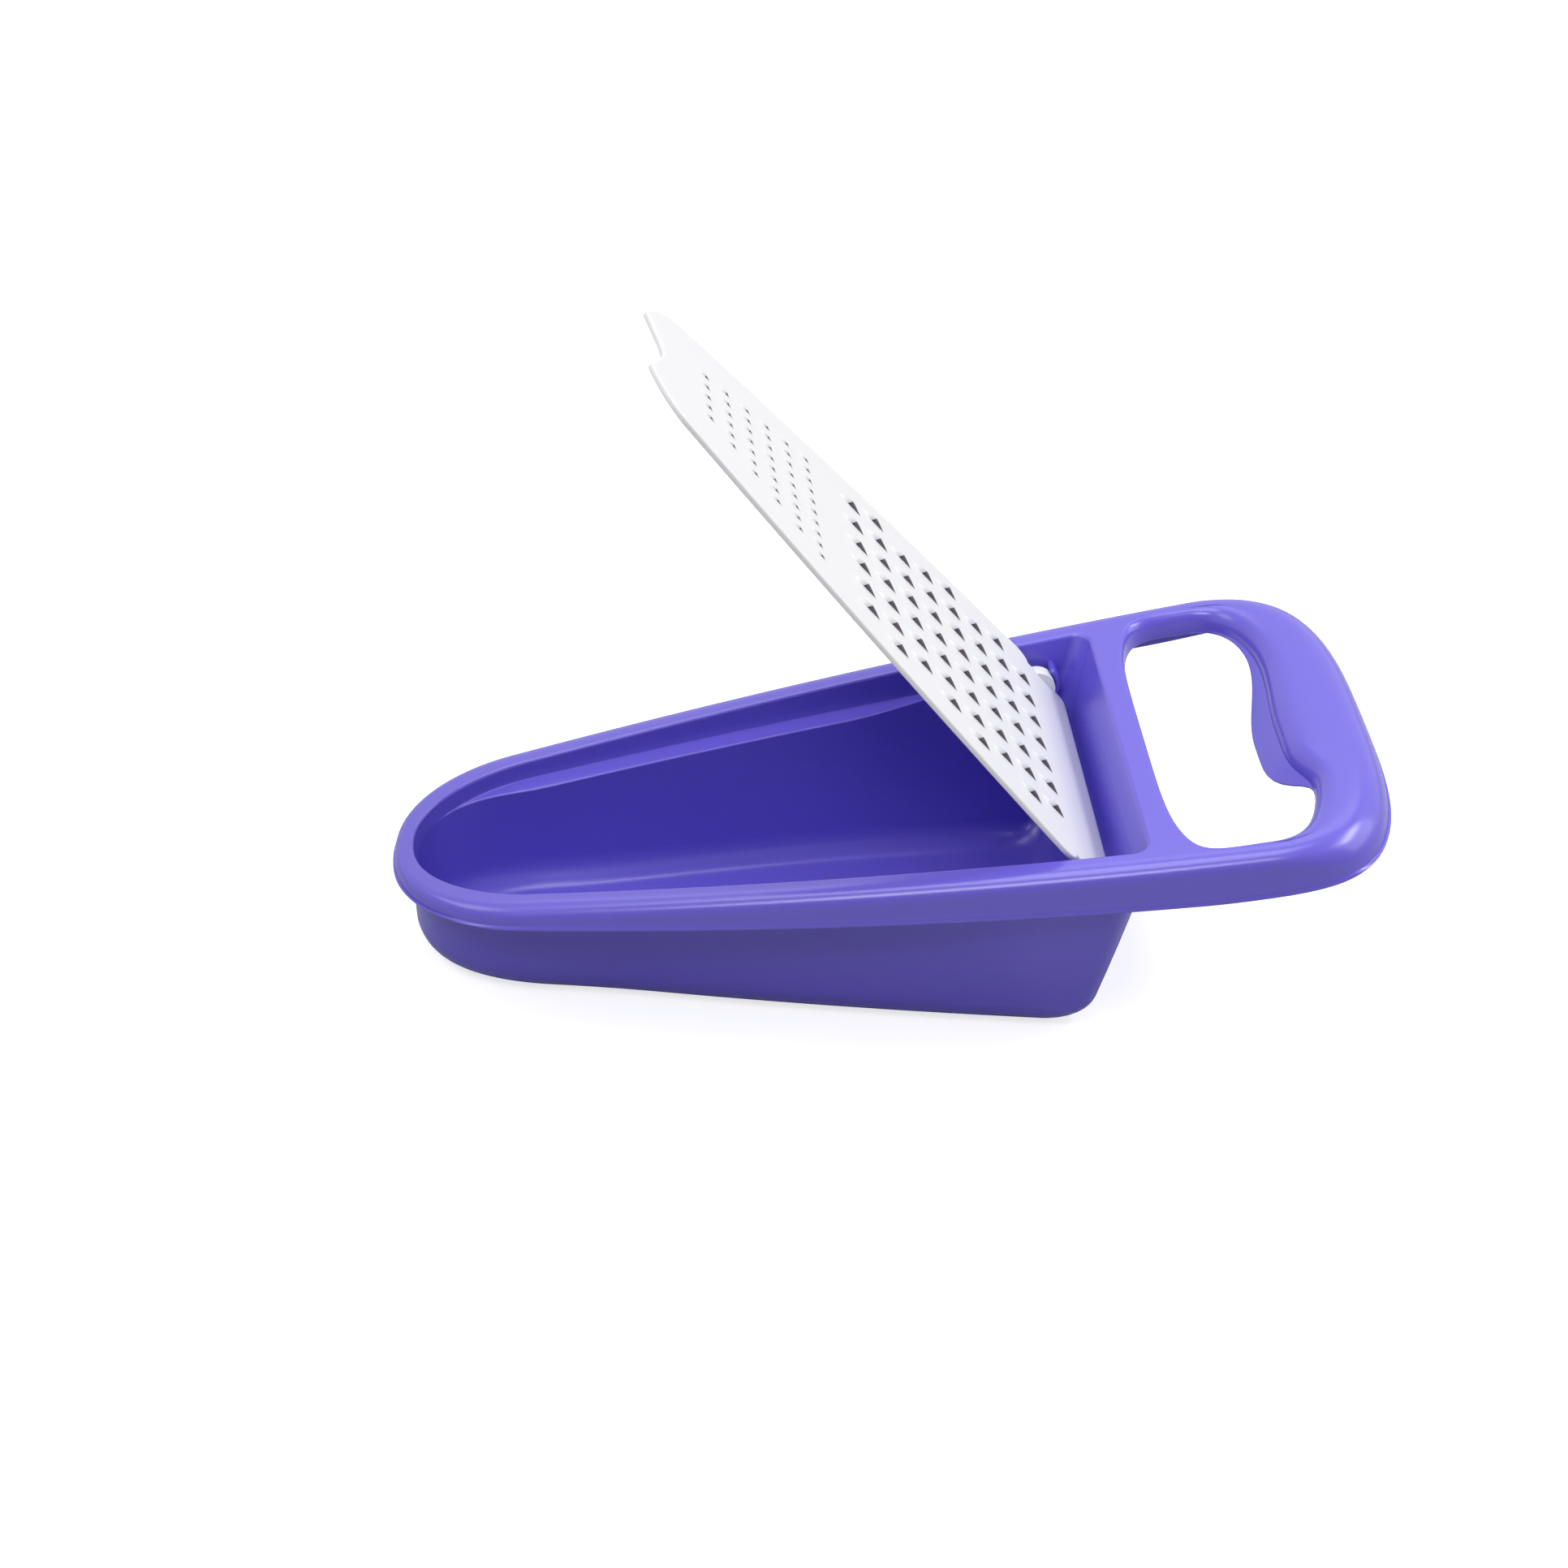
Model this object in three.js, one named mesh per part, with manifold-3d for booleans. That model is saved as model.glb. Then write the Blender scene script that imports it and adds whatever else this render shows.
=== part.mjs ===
// Box cheese grater: a tapered plastic tray with a moulded D handle, and a hinged plastic grating plate.
// Millimetres, Z up. The tray stands on its flat bottom, X runs from the nose to the handle.

import * as THREE from 'three';
import { mergeGeometries, mergeVertices } from 'three/addons/utils/BufferGeometryUtils.js';
import Module from 'manifold-3d';

const wasm = await Module();
wasm.setup();

// Tray opening, measured in the plane of the rim with x = 0 at the opening's rear edge
const OPENING_LENGTH = 166.1;
const REAR_HALF_WIDTH = 48.3;
const NOSE_HALF_WIDTH = 21.9;
const SIDE_BOW = 3.1;
const NOSE_LENGTH = 28;
const NOSE_SQUARENESS = 2.3;

// Tray body
const WALL = 2;
const REAR_DEPTH = 56.4;
const BOTTOM_TILT = 9.7;
const SIDE_DRAFT = 0.05;
const REAR_DRAFT = 0.35;
const OUTER_FILLET = 9;
const REAR_CORNER = 4;
const CORNER_GROWTH = 0.5;
const NOSE_THICKENING = 0.7;
const NOSE_FILLET = 0.9;
const EDGE_ROUND = 0.8;

// Rim, a rolled edge with a hanging skirt
const RIM_WIDTH = 8;
const RIM_AT_NOSE = 5.6;
const RIM_NOSE_LENGTH = 24.5;
const RIM_ROUND = 3.7;
const SKIRT_DRAFT = 0.6;
const SKIRT_AT_NOSE = 4;
const SKIRT_AT_HANDLE = 12.2;
const SKIRT_AT_END = 9.9;
const SKIRT_RISE = 49;

// D handle
const HANDLE_LENGTH = 57.1;
const HANDLE_END = 28.9;
const HANDLE_SQUARENESS = 3.05;
const GRIP_ROUND = 9;
const GRIP_LEAD = 4;
const CROSS_BAR = 4.8;
const SIDE_BAR = 9.6;
const GRIP_WIDTH = 16.2;
const HOLE_FRONT_SQUARENESS = 5.3;
const HOLE_REAR_SQUARENESS = 2.6;
const HOLE_SKIRT = 5.2;
const FINGER_SWELL = 5.4;
const SWELL_SPREAD = 23.6;
const SWELL_SQUARENESS = 3.3;
const SWELL_SKIRT = 9.8;
const FINGER_LEAN = 5;
const HOLE_ROUND = 2.6;
const GRIP_EDGE_ROUND = 5.4;

// Hinge axis, in the same plane system as the opening
const HINGE_X = -15.4;
const HINGE_Z = -9.4;
const LUG_RADIUS = 4.5;
const RUNNING_GAP = 0.3;
const CLIP_PRONG = 1.2;
const CLIP_TOP = 4.4;
const CLIP_HOOK = 1.2;
const CLIP_DEPTH = 2.6;
const CLIP_FOOT = 5;

// Grating plate
const PLATE_THICKNESS = 1.4;
const PLATE_RISE = 2.66;
const PLATE_GAP = 0.7;
const TIP_OVERHANG = 1;
const TIP_LENGTH = 14.5;
const PLATE_EDGE = 0.4;
const SEAT_TILT = 3.7;
const LEDGE_TILT = 1.78;
const OPEN_ANGLE = 57.84;
const SHOULDER = 6.6;
const TAIL_GAP = 0.6;
const TAIL_ROLL = 4.5;
const TAIL_TURN = 45;
const TAIL_CORNER = 4;
const NOTCH_DEPTH = 7.7;
const NOTCH_ROUND = 1.2;
const NOTCH_SLOPE = 0.45;
const LEDGE_WIDTH = 5.2;
const LEDGE_FADE = 15;
const LEDGE_LIP = 0.2;
const LEDGE_RUNOUT = 36;
const RUNOUT_LEAD = 6.5;

// Teeth, in staggered rows
const FIRST_ROW = 11.9;
const LAST_ROW = 22.3;
const FIELD_GAP = 16.6;
const COARSE_SHARE = 0.6455;
const COARSE_PITCH = 9.6;
const COARSE_ROWS = [7, 8, 7, 8, 7, 6, 7, 6];
const COARSE_LENGTH = 4.4;
const COARSE_HEIGHT = 1.2;
const FINE_PITCH = 5;
const FINE_ROWS = [10, 9, 8, 7, 6, 5];
const FINE_LENGTH = 2;
const FINE_HEIGHT = 0.6;
const TOOTH_SKIN = 0.35;

// Colours
const VIOLET = 0x5b50bd;
const WHITE = 0xf3f3f7;

const radians = THREE.MathUtils.degToRad;
const bottomSlope = Math.tan(radians(BOTTOM_TILT));
const seat = radians(SEAT_TILT);
const ledgeSlope = radians(LEDGE_TILT);

// Solids: a closed geometry becomes a body that can be joined and cut, and goes back to a geometry

function solid(geometry) {
  const bare = geometry.clone();
  bare.deleteAttribute('normal');
  bare.deleteAttribute('uv');
  const merged = mergeVertices(bare, 1e-4);
  const vertProperties = new Float32Array(merged.attributes.position.array);
  const triVerts = new Uint32Array(merged.index.array);
  return new wasm.Manifold(new wasm.Mesh({ numProp: 3, vertProperties, triVerts }));
}

function geometryOf(body) {
  const mesh = body.getMesh();
  const geometry = new THREE.BufferGeometry();
  geometry.setAttribute('position', new THREE.BufferAttribute(new Float32Array(mesh.vertProperties), 3));
  geometry.setIndex(new THREE.BufferAttribute(new Uint32Array(mesh.triVerts), 1));
  geometry.computeVertexNormals();
  return geometry;
}

function signedVolume(points, faces) {
  let sum = 0;
  for (let i = 0; i < faces.length; i += 3) {
    const a = points[faces[i]];
    const b = points[faces[i + 1]];
    const c = points[faces[i + 2]];
    sum += a.dot(new THREE.Vector3().crossVectors(b, c));
  }
  return sum / 6;
}

function closedGeometry(points, faces) {
  const turned = signedVolume(points, faces) < 0;
  const index = [];
  for (let i = 0; i < faces.length; i += 3) {
    index.push(faces[i], turned ? faces[i + 2] : faces[i + 1], turned ? faces[i + 1] : faces[i + 2]);
  }
  const geometry = new THREE.BufferGeometry();
  geometry.setAttribute('position', new THREE.Float32BufferAttribute(points.flatMap((p) => p.toArray()), 3));
  geometry.setIndex(index);
  return geometry;
}

// A skin through a stack of rings with equal counts, closed at both ends by flat lids
function loft(rings, flat = (p) => new THREE.Vector2(p.x, p.y)) {
  const count = rings[0].length;
  const points = rings.flat();
  const faces = [];
  for (let r = 0; r + 1 < rings.length; r += 1) {
    for (let i = 0; i < count; i += 1) {
      const a = r * count + i;
      const b = r * count + ((i + 1) % count);
      faces.push(a, b, b + count, a, b + count, a + count);
    }
  }
  const lid = (start, ring, below) => {
    const plan = ring.map(flat);
    const around = THREE.ShapeUtils.isClockWise(plan) ? -1 : 1;
    for (const [i, j, k] of THREE.ShapeUtils.triangulateShape(plan, [])) {
      const area = new THREE.Vector2().subVectors(plan[j], plan[i]).cross(plan[k].clone().sub(plan[i]));
      const same = Math.sign(area) === around;
      const keep = same !== below;
      faces.push(start + i, start + (keep ? j : k), start + (keep ? k : j));
    }
  };
  lid(0, rings[0], true);
  lid(points.length - count, rings[rings.length - 1], false);
  return closedGeometry(points, faces);
}

// Tray plan: tapered, slightly bowed sides and a rounded nose

function sideHalf(x) {
  const t = -x / OPENING_LENGTH;
  return REAR_HALF_WIDTH + (NOSE_HALF_WIDTH - REAR_HALF_WIDTH) * t + 4 * SIDE_BOW * t * (1 - t);
}

function roundedShare(cosine, power) {
  return Math.max(1 - cosine ** power, 0) ** (1 / power);
}

// One level of the tub: nose curve, side, rear corner and rear edge on one half, then mirrored
function tubRing({ inset, nose, rear, corner, height }) {
  const half = [];
  const shoulder = NOSE_LENGTH - OPENING_LENGTH;
  const tip = nose - OPENING_LENGTH;
  const noseSteps = 10;
  const sideSteps = 12;
  const cornerSteps = 4;
  const rearSteps = 3;
  for (let i = 0; i <= noseSteps; i += 1) {
    const cosine = Math.cos((i / noseSteps) * Math.PI / 2);
    const x = shoulder - (shoulder - tip) * cosine;
    half.push([x, (sideHalf(x) - inset(x)) * roundedShare(cosine, NOSE_SQUARENESS)]);
  }
  const bend = rear - corner;
  for (let i = 1; i <= sideSteps; i += 1) {
    const x = THREE.MathUtils.lerp(shoulder, bend, 1 - (1 - i / sideSteps) ** 1.6);
    half.push([x, sideHalf(x) - inset(x)]);
  }
  const side = sideHalf(bend) - inset(bend);
  for (let i = 1; i <= cornerSteps; i += 1) {
    const turn = (i / cornerSteps) * Math.PI / 2;
    half.push([bend + corner * Math.sin(turn), side - corner + corner * Math.cos(turn)]);
  }
  for (let i = 1; i <= rearSteps; i += 1) {
    half.push([rear, (side - corner) * (1 - i / rearSteps)]);
  }
  const mirrored = half.slice(1, -1).reverse().map(([x, y]) => [x, -y]);
  return half.concat(mirrored).map(([x, y]) => new THREE.Vector3(x, y, height(x)));
}

// A ledge under the closed plate runs along the sides of the tub, and out to nothing before the hinge
function plateUnderside(x) {
  return HINGE_Z + (PLATE_RISE - PLATE_THICKNESS + (HINGE_X - x) * Math.sin(ledgeSlope)) / Math.cos(ledgeSlope);
}

const ledgeEnd = HINGE_X - LUG_RADIUS - RUNOUT_LEAD;
const ledgeTop = (x) => plateUnderside(x) - RUNNING_GAP;
const ledgeFoot = (x) => ledgeTop(x) - LEDGE_LIP;
const ledgeShare = (x) => {
  const start = -OPENING_LENGTH + WALL;
  return THREE.MathUtils.smoothstep(x, start, start + LEDGE_FADE);
};
const ledgeWidth = (x) => {
  const runout = THREE.MathUtils.smoothstep(x, ledgeEnd - LEDGE_RUNOUT, ledgeEnd);
  return LEDGE_WIDTH * ledgeShare(x) * (1 - runout);
};

const upperInset = SIDE_DRAFT * -plateUnderside(HINGE_X);
const rearTop = -EDGE_ROUND - RUNNING_GAP;

// The tub skin at one distance outside the inner face: 0 inside, WALL outside
function tubBody(out, top) {
  const fillet = OUTER_FILLET - WALL + out;
  const floorLevel = (x) => -REAR_DEPTH + WALL - out - bottomSlope * x;
  const rearBase = rearTop + out * Math.hypot(1, REAR_DRAFT);
  const rearAt = (z) => rearBase + REAR_DRAFT * z;
  const rearCorner = (rearBase + REAR_DRAFT * (WALL - out - REAR_DEPTH)) / (1 + REAR_DRAFT * bottomSlope);
  const upper = upperInset - out;
  const foot = (x) => upper + ledgeWidth(x);
  const draft = (x) => SIDE_DRAFT * Math.max(ledgeFoot(x) - floorLevel(x) - fillet, 0);
  const lower = (x) => upper + LEDGE_WIDTH * ledgeShare(x) + draft(x);
  const plan = REAR_CORNER + out;
  const levels = top.map(([inset, rear, z]) => ({
    inset: () => inset - out, nose: inset - out, rear: rear + out, corner: plan, height: () => z,
  }));
  const ledgeRear = rearAt(ledgeTop(0) - out);
  const filletRear = (rearBase + REAR_DRAFT * (floorLevel(0) + fillet)) / (1 + REAR_DRAFT * bottomSlope);
  const noseOut = out + (out > 0 ? NOSE_THICKENING : 0);
  levels.push({ inset: () => upper, nose: upper, rear: ledgeRear, corner: plan, height: (x) => ledgeTop(x) - out });
  levels.push({ inset: foot, nose: upper, rear: ledgeRear, corner: plan, height: (x) => ledgeFoot(x) - out });
  const rounds = 5;
  for (let i = 0; i <= rounds; i += 1) {
    const turn = (i / rounds) * Math.PI / 2;
    const side = fillet * (1 - Math.cos(turn));
    const lift = fillet * (1 - Math.sin(turn));
    const back = THREE.MathUtils.lerp(filletRear, rearCorner - 0.82 * fillet, (1 - Math.cos(turn)) ** 1.15);
    levels.push({
      inset: (x) => lower(x) + side,
      nose: side * NOSE_FILLET - noseOut,
      rear: back,
      corner: plan + CORNER_GROWTH + side * 0.4,
      height: (x) => floorLevel(x) + lift,
    });
  }
  return solid(loft(levels.map(tubRing)));
}

const tubOutside = tubBody(WALL, [[0, 0, -1]]);
const tubInside = tubBody(0, [
  [-EDGE_ROUND, EDGE_ROUND, WALL * 3],
  [-EDGE_ROUND, EDGE_ROUND * 0.8, EDGE_ROUND * 0.35],
  [-EDGE_ROUND * 0.3, -EDGE_ROUND * 0.5, -EDGE_ROUND * 0.45],
  [0, rearTop - REAR_DRAFT * EDGE_ROUND * 1.5, -EDGE_ROUND * 1.5],
]);

// Outer outline of rim and handle, one closed line with its inward normals

const handleShoulder = HANDLE_LENGTH - HANDLE_END;

function outerHalf(x) {
  return sideHalf(Math.min(x, handleShoulder)) + RIM_WIDTH;
}

const outline = (() => {
  const half = [];
  const shoulder = RIM_NOSE_LENGTH - OPENING_LENGTH;
  const tip = -OPENING_LENGTH - RIM_AT_NOSE;
  const noseSteps = 12;
  const sideSteps = 8;
  const endSteps = 14;
  for (let i = 0; i <= noseSteps; i += 1) {
    const cosine = Math.cos((i / noseSteps) * Math.PI / 2);
    const x = shoulder - (shoulder - tip) * cosine;
    half.push([x, outerHalf(x) * roundedShare(cosine, NOSE_SQUARENESS)]);
  }
  for (let i = 1; i <= sideSteps; i += 1) {
    const x = THREE.MathUtils.lerp(shoulder, handleShoulder, i / sideSteps);
    half.push([x, outerHalf(x)]);
  }
  for (let i = 1; i <= endSteps; i += 1) {
    const turn = (i / endSteps) * Math.PI / 2;
    const sum = Math.sin(turn) ** HANDLE_SQUARENESS + Math.cos(turn) ** HANDLE_SQUARENESS;
    const reach = sum ** (-1 / HANDLE_SQUARENESS);
    const x = handleShoulder + HANDLE_END * Math.sin(turn) * reach;
    half.push([x, i === endSteps ? 0 : outerHalf(handleShoulder) * Math.cos(turn) * reach]);
  }
  const mirrored = half.slice(1, -1).reverse().map(([x, y]) => [x, -y]);
  return half.concat(mirrored).map(([x, y]) => new THREE.Vector2(x, y));
})();

// Normals that point to the right of the walking direction, which is inward on a clockwise line
function rightNormals(line) {
  return line.map((_, i) => {
    const before = line[(i + line.length - 1) % line.length];
    const after = line[(i + 1) % line.length];
    const along = after.clone().sub(before).normalize();
    return new THREE.Vector2(along.y, -along.x);
  });
}

function offsetRing(line, normals, offset, height) {
  return line.map((p, i) => {
    const d = offset(p, i);
    return new THREE.Vector3(p.x + normals[i].x * d, p.y + normals[i].y * d, height(p, i));
  });
}

const outlineNormals = rightNormals(outline);
const overallLength = OPENING_LENGTH + RIM_AT_NOSE + HANDLE_LENGTH;
const skirtFoot = (x) => {
  const share = THREE.MathUtils.clamp((HANDLE_LENGTH - x) / overallLength, 0, 1);
  const rise = THREE.MathUtils.smoothstep(x, HANDLE_LENGTH - SKIRT_RISE, HANDLE_LENGTH);
  return -SKIRT_AT_HANDLE + (SKIRT_AT_HANDLE - SKIRT_AT_NOSE) * share ** 1.4
    + (SKIRT_AT_HANDLE - SKIRT_AT_END) * rise;
};
const rimRound = (x) => {
  const share = THREE.MathUtils.smoothstep(x, handleShoulder - GRIP_LEAD, HANDLE_LENGTH - GRIP_ROUND);
  return THREE.MathUtils.lerp(RIM_ROUND, GRIP_ROUND, share);
};

// Rim and handle shell: skirt, rounded shoulder and flat top
function capBody(inside) {
  const shrink = inside ? WALL : 0;
  const rings = [];
  const foot = (p) => skirtFoot(p.x) - (inside ? SKIRT_AT_NOSE : 0);
  rings.push(offsetRing(outline, outlineNormals, () => shrink, foot));
  const steps = inside ? 2 : 5;
  for (let i = 0; i <= steps; i += 1) {
    const turn = (i / steps) * Math.PI / 2;
    const offset = (p) => SKIRT_DRAFT + rimRound(p.x) - (rimRound(p.x) - shrink) * Math.cos(turn);
    const height = (p) => (rimRound(p.x) - shrink) * Math.sin(turn) - rimRound(p.x);
    rings.push(offsetRing(outline, outlineNormals, offset, height));
  }
  return solid(loft(rings));
}

// Hand hole: a rounded D whose rear edge swells forward under the fingers

const holeFront = CROSS_BAR;
const holeRear = HANDLE_LENGTH - GRIP_WIDTH;
const holeMiddle = (holeFront + holeRear) / 2;
const holeReach = (holeRear - holeFront) / 2;
const holeHalf = outerHalf(holeMiddle) - SIDE_BAR;
const swellAt = (y) => Math.exp(-(Math.abs(y / SWELL_SPREAD) ** SWELL_SQUARENESS));

function holeLine() {
  const steps = 64;
  const line = [];
  for (let i = 0; i < steps; i += 1) {
    const turn = (-i / steps) * Math.PI * 2;
    const c = Math.cos(turn);
    const s = Math.sin(turn);
    const power = c > 0 ? HOLE_REAR_SQUARENESS : HOLE_FRONT_SQUARENESS;
    const reach = (Math.abs(c) ** power + Math.abs(s) ** power) ** (-1 / power);
    const y = holeHalf * s * reach;
    const swell = c > 0 ? FINGER_SWELL * swellAt(y) : 0;
    line.push(new THREE.Vector2(holeMiddle + holeReach * c * reach - swell, y));
  }
  return line;
}

const hole = holeLine();
const holeNormals = rightNormals(hole);
const rearness = (p) => THREE.MathUtils.smoothstep(p.x, holeMiddle, holeRear - FINGER_SWELL);
const frontness = (p) => 1 - THREE.MathUtils.smoothstep(p.x, holeFront + HOLE_ROUND / 2, holeFront + HOLE_ROUND * 3);
const holeRound = (p) => HOLE_ROUND + (GRIP_EDGE_ROUND - HOLE_ROUND) * rearness(p)
  - (HOLE_ROUND - CROSS_BAR * 0.25) * frontness(p);
const fingers = (p) => swellAt(p.y) * rearness(p);
const holeFoot = (p) => -HOLE_SKIRT - (SWELL_SKIRT - HOLE_SKIRT) * fingers(p);
const holeLean = (p) => FINGER_LEAN * fingers(p);

function holeWall() {
  return solid(loft([
    offsetRing(hole, holeNormals, (p) => holeLean(p) - WALL, holeFoot),
    offsetRing(hole, holeNormals, () => -WALL, (p) => -holeRound(p)),
    offsetRing(hole, holeNormals, (p) => -WALL - holeRound(p) / 2, () => -WALL / 2),
  ]));
}

function holeCut() {
  const rings = [
    offsetRing(hole, holeNormals, holeLean, () => -SWELL_SKIRT * 2),
    offsetRing(hole, holeNormals, holeLean, (p) => holeFoot(p) - EDGE_ROUND),
  ];
  const steps = 4;
  for (let i = 0; i <= steps; i += 1) {
    const turn = (i / steps) * 0.46 * Math.PI;
    const offset = (p) => holeRound(p) * (Math.cos(turn) - 1);
    const height = (p) => holeRound(p) * (Math.sin(turn) - 1);
    rings.push(offsetRing(hole, holeNormals, offset, height));
  }
  rings.push(offsetRing(hole, holeNormals, (p) => -holeRound(p) - 0.1, () => WALL * 2));
  return solid(loft(rings));
}

// Snap clips: a U cradle on each side wall that takes the plate's round lug

const cradle = LUG_RADIUS + RUNNING_GAP;
const hingeFloor = -REAR_DEPTH + OUTER_FILLET - bottomSlope * HINGE_X;
const hingeLean = (LEDGE_WIDTH + SIDE_DRAFT * (HINGE_Z - hingeFloor)) / (ledgeFoot(HINGE_X) - hingeFloor);
const wallAtHinge = sideHalf(HINGE_X - cradle) - upperInset
  - hingeLean * (ledgeFoot(HINGE_X) - HINGE_Z + cradle);
const clipInner = wallAtHinge - CLIP_DEPTH;

// The front prong stops below the axis, clear of the plate, and the rear prong hooks over the lug
function clipBody(sign) {
  const span = 2 * (cradle + CLIP_PRONG);
  const foot = HINGE_Z - cradle - CLIP_FOOT;
  const tall = -CLIP_TOP - foot;
  const deep = CLIP_DEPTH + WALL * 2;
  const block = new THREE.BoxGeometry(span, deep, tall);
  block.translate(HINGE_X, sign * (clipInner + deep / 2), foot + tall / 2);
  const bed = new THREE.CylinderGeometry(cradle, cradle, deep * 2, 32);
  bed.translate(HINGE_X, sign * wallAtHinge, HINGE_Z);
  const entry = new THREE.BoxGeometry(span, deep * 2, tall);
  const hook = HINGE_X + cradle - CLIP_HOOK;
  entry.translate(hook - span / 2, sign * wallAtHinge, HINGE_Z - RUNNING_GAP + tall / 2);
  return solid(block).subtract(solid(bed)).subtract(solid(entry));
}

const tray = capBody(false)
  .subtract(capBody(true))
  .add(tubOutside)
  .add(holeWall())
  .subtract(tubInside)
  .subtract(holeCut())
  .add(clipBody(1).intersect(tubOutside))
  .add(clipBody(-1).intersect(tubOutside));

// Grating plate in its own frame: hinge axis at the origin, tip towards -X, grating face up

const plateTop = PLATE_RISE;
const tailHalf = clipInner - RUNNING_GAP;
const tailTurn = radians(TAIL_TURN);
const tailSink = TAIL_ROLL * (1 - Math.cos(tailTurn));
const wallDistance = (rearTop + REAR_DRAFT * HINGE_Z - HINGE_X) / Math.hypot(1, REAR_DRAFT);
const tailEnd = Math.sqrt((wallDistance - TAIL_GAP) ** 2 - (plateTop - tailSink) ** 2);
const tailFlat = tailEnd - TAIL_ROLL * Math.sin(tailTurn);
const closedX = (q) => HINGE_X - q * Math.cos(seat) + PLATE_RISE * Math.sin(seat);
const plateReach = (x) => (HINGE_X + PLATE_RISE * Math.sin(seat) - x) / Math.cos(seat);
const tipReach = plateReach(-OPENING_LENGTH - TIP_OVERHANG);

function plateRing(q, half, sink) {
  const top = plateTop - sink;
  const low = top - PLATE_THICKNESS;
  const e = PLATE_EDGE;
  const section = [
    [half - e, low], [half, low + e], [half, top - e], [half - e, top],
    [e - half, top], [-half, top - e], [-half, low + e], [e - half, low],
  ];
  return section.map(([y, z]) => new THREE.Vector3(-q, y, z));
}

function plateBody() {
  const rings = [];
  const tailSteps = 5;
  for (let i = 0; i <= tailSteps; i += 1) {
    const turn = tailTurn * (1 - i / tailSteps);
    const q = -tailFlat - TAIL_ROLL * Math.sin(turn);
    const into = Math.max(TAIL_CORNER - (q + tailEnd), 0) / TAIL_CORNER;
    const half = tailHalf - TAIL_CORNER * (1 - Math.sqrt(1 - into * into));
    rings.push(plateRing(q, half, TAIL_ROLL * (1 - Math.cos(turn))));
  }
  rings.push(plateRing(SHOULDER - PLATE_EDGE * 2, tailHalf, 0));
  const noseStart = tipReach - TIP_LENGTH;
  const sideSteps = 8;
  const noseSteps = 12;
  for (let i = 0; i <= sideSteps; i += 1) {
    const q = THREE.MathUtils.lerp(SHOULDER, noseStart, i / sideSteps);
    rings.push(plateRing(q, sideHalf(closedX(q)) - PLATE_GAP, 0));
  }
  for (let i = 1; i <= noseSteps; i += 1) {
    const cosine = Math.sin((0.93 * i / noseSteps) * Math.PI / 2);
    const q = THREE.MathUtils.lerp(noseStart, tipReach, cosine);
    const side = sideHalf(closedX(q)) - PLATE_GAP;
    rings.push(plateRing(q, side * roundedShare(cosine, 2), 0));
  }
  return solid(loft(rings, (p) => new THREE.Vector2(p.y, p.z)));
}

// Fishtail notch in the free end: a wide V with a rounded bottom
function notchCut() {
  const shape = new THREE.Shape();
  const half = NOSE_HALF_WIDTH;
  const steps = 16;
  const depthAt = (y) => NOTCH_DEPTH + NOTCH_ROUND - Math.hypot(NOTCH_ROUND, NOTCH_SLOPE * y);
  for (let i = 0; i <= steps; i += 1) {
    const u = (2 * i) / steps - 1;
    const y = half * u * Math.abs(u);
    const x = depthAt(y) - tipReach;
    if (i === 0) {
      shape.moveTo(x, y);
    } else {
      shape.lineTo(x, y);
    }
  }
  shape.lineTo(-tipReach - NOTCH_DEPTH, half);
  shape.lineTo(-tipReach - NOTCH_DEPTH, -half);
  const cut = new THREE.ExtrudeGeometry(shape, { depth: PLATE_RISE * 4, bevelEnabled: false });
  cut.translate(0, 0, -PLATE_RISE * 2);
  return solid(cut);
}

// Round lugs that turn in the tray's clips
function lugBody(sign) {
  const reach = wallAtHinge - RUNNING_GAP - tailHalf + PLATE_EDGE * 2;
  const disc = new THREE.CylinderGeometry(LUG_RADIUS, LUG_RADIUS, reach, 24);
  disc.translate(0, sign * (wallAtHinge - RUNNING_GAP - reach / 2), 0);
  return solid(disc);
}

// One tooth: a low hood that rises from its point to a raised mouth on the near side, hollow to the back
const COARSE_HOOD = [[-0.6, -0.2], [0.42, -0.2], [0.74, 0.14], [0.62, 0.56], [0.12, 0.68], [-0.36, 0.3]];
const FINE_HOOD = [[-0.6, -0.2], [0.42, -0.2], [0.66, 0.4], [-0.1, 0.62]];
const CREST = [0.3, -0.12];

function toothPyramid(base, crest, low, foot) {
  const points = base.map(([x, y]) => new THREE.Vector3(x, y, foot));
  const level = base.map(([x, y]) => new THREE.Vector3(x, y, low));
  const count = base.length;
  const all = points.concat(level, [crest]);
  const faces = [];
  for (let i = 0; i < count; i += 1) {
    const j = (i + 1) % count;
    faces.push(i, j, count + j, i, count + j, count + i, count + i, count + j, 2 * count);
  }
  for (let i = 1; i + 1 < count; i += 1) {
    faces.push(0, i + 1, i);
  }
  return closedGeometry(all, faces);
}

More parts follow.
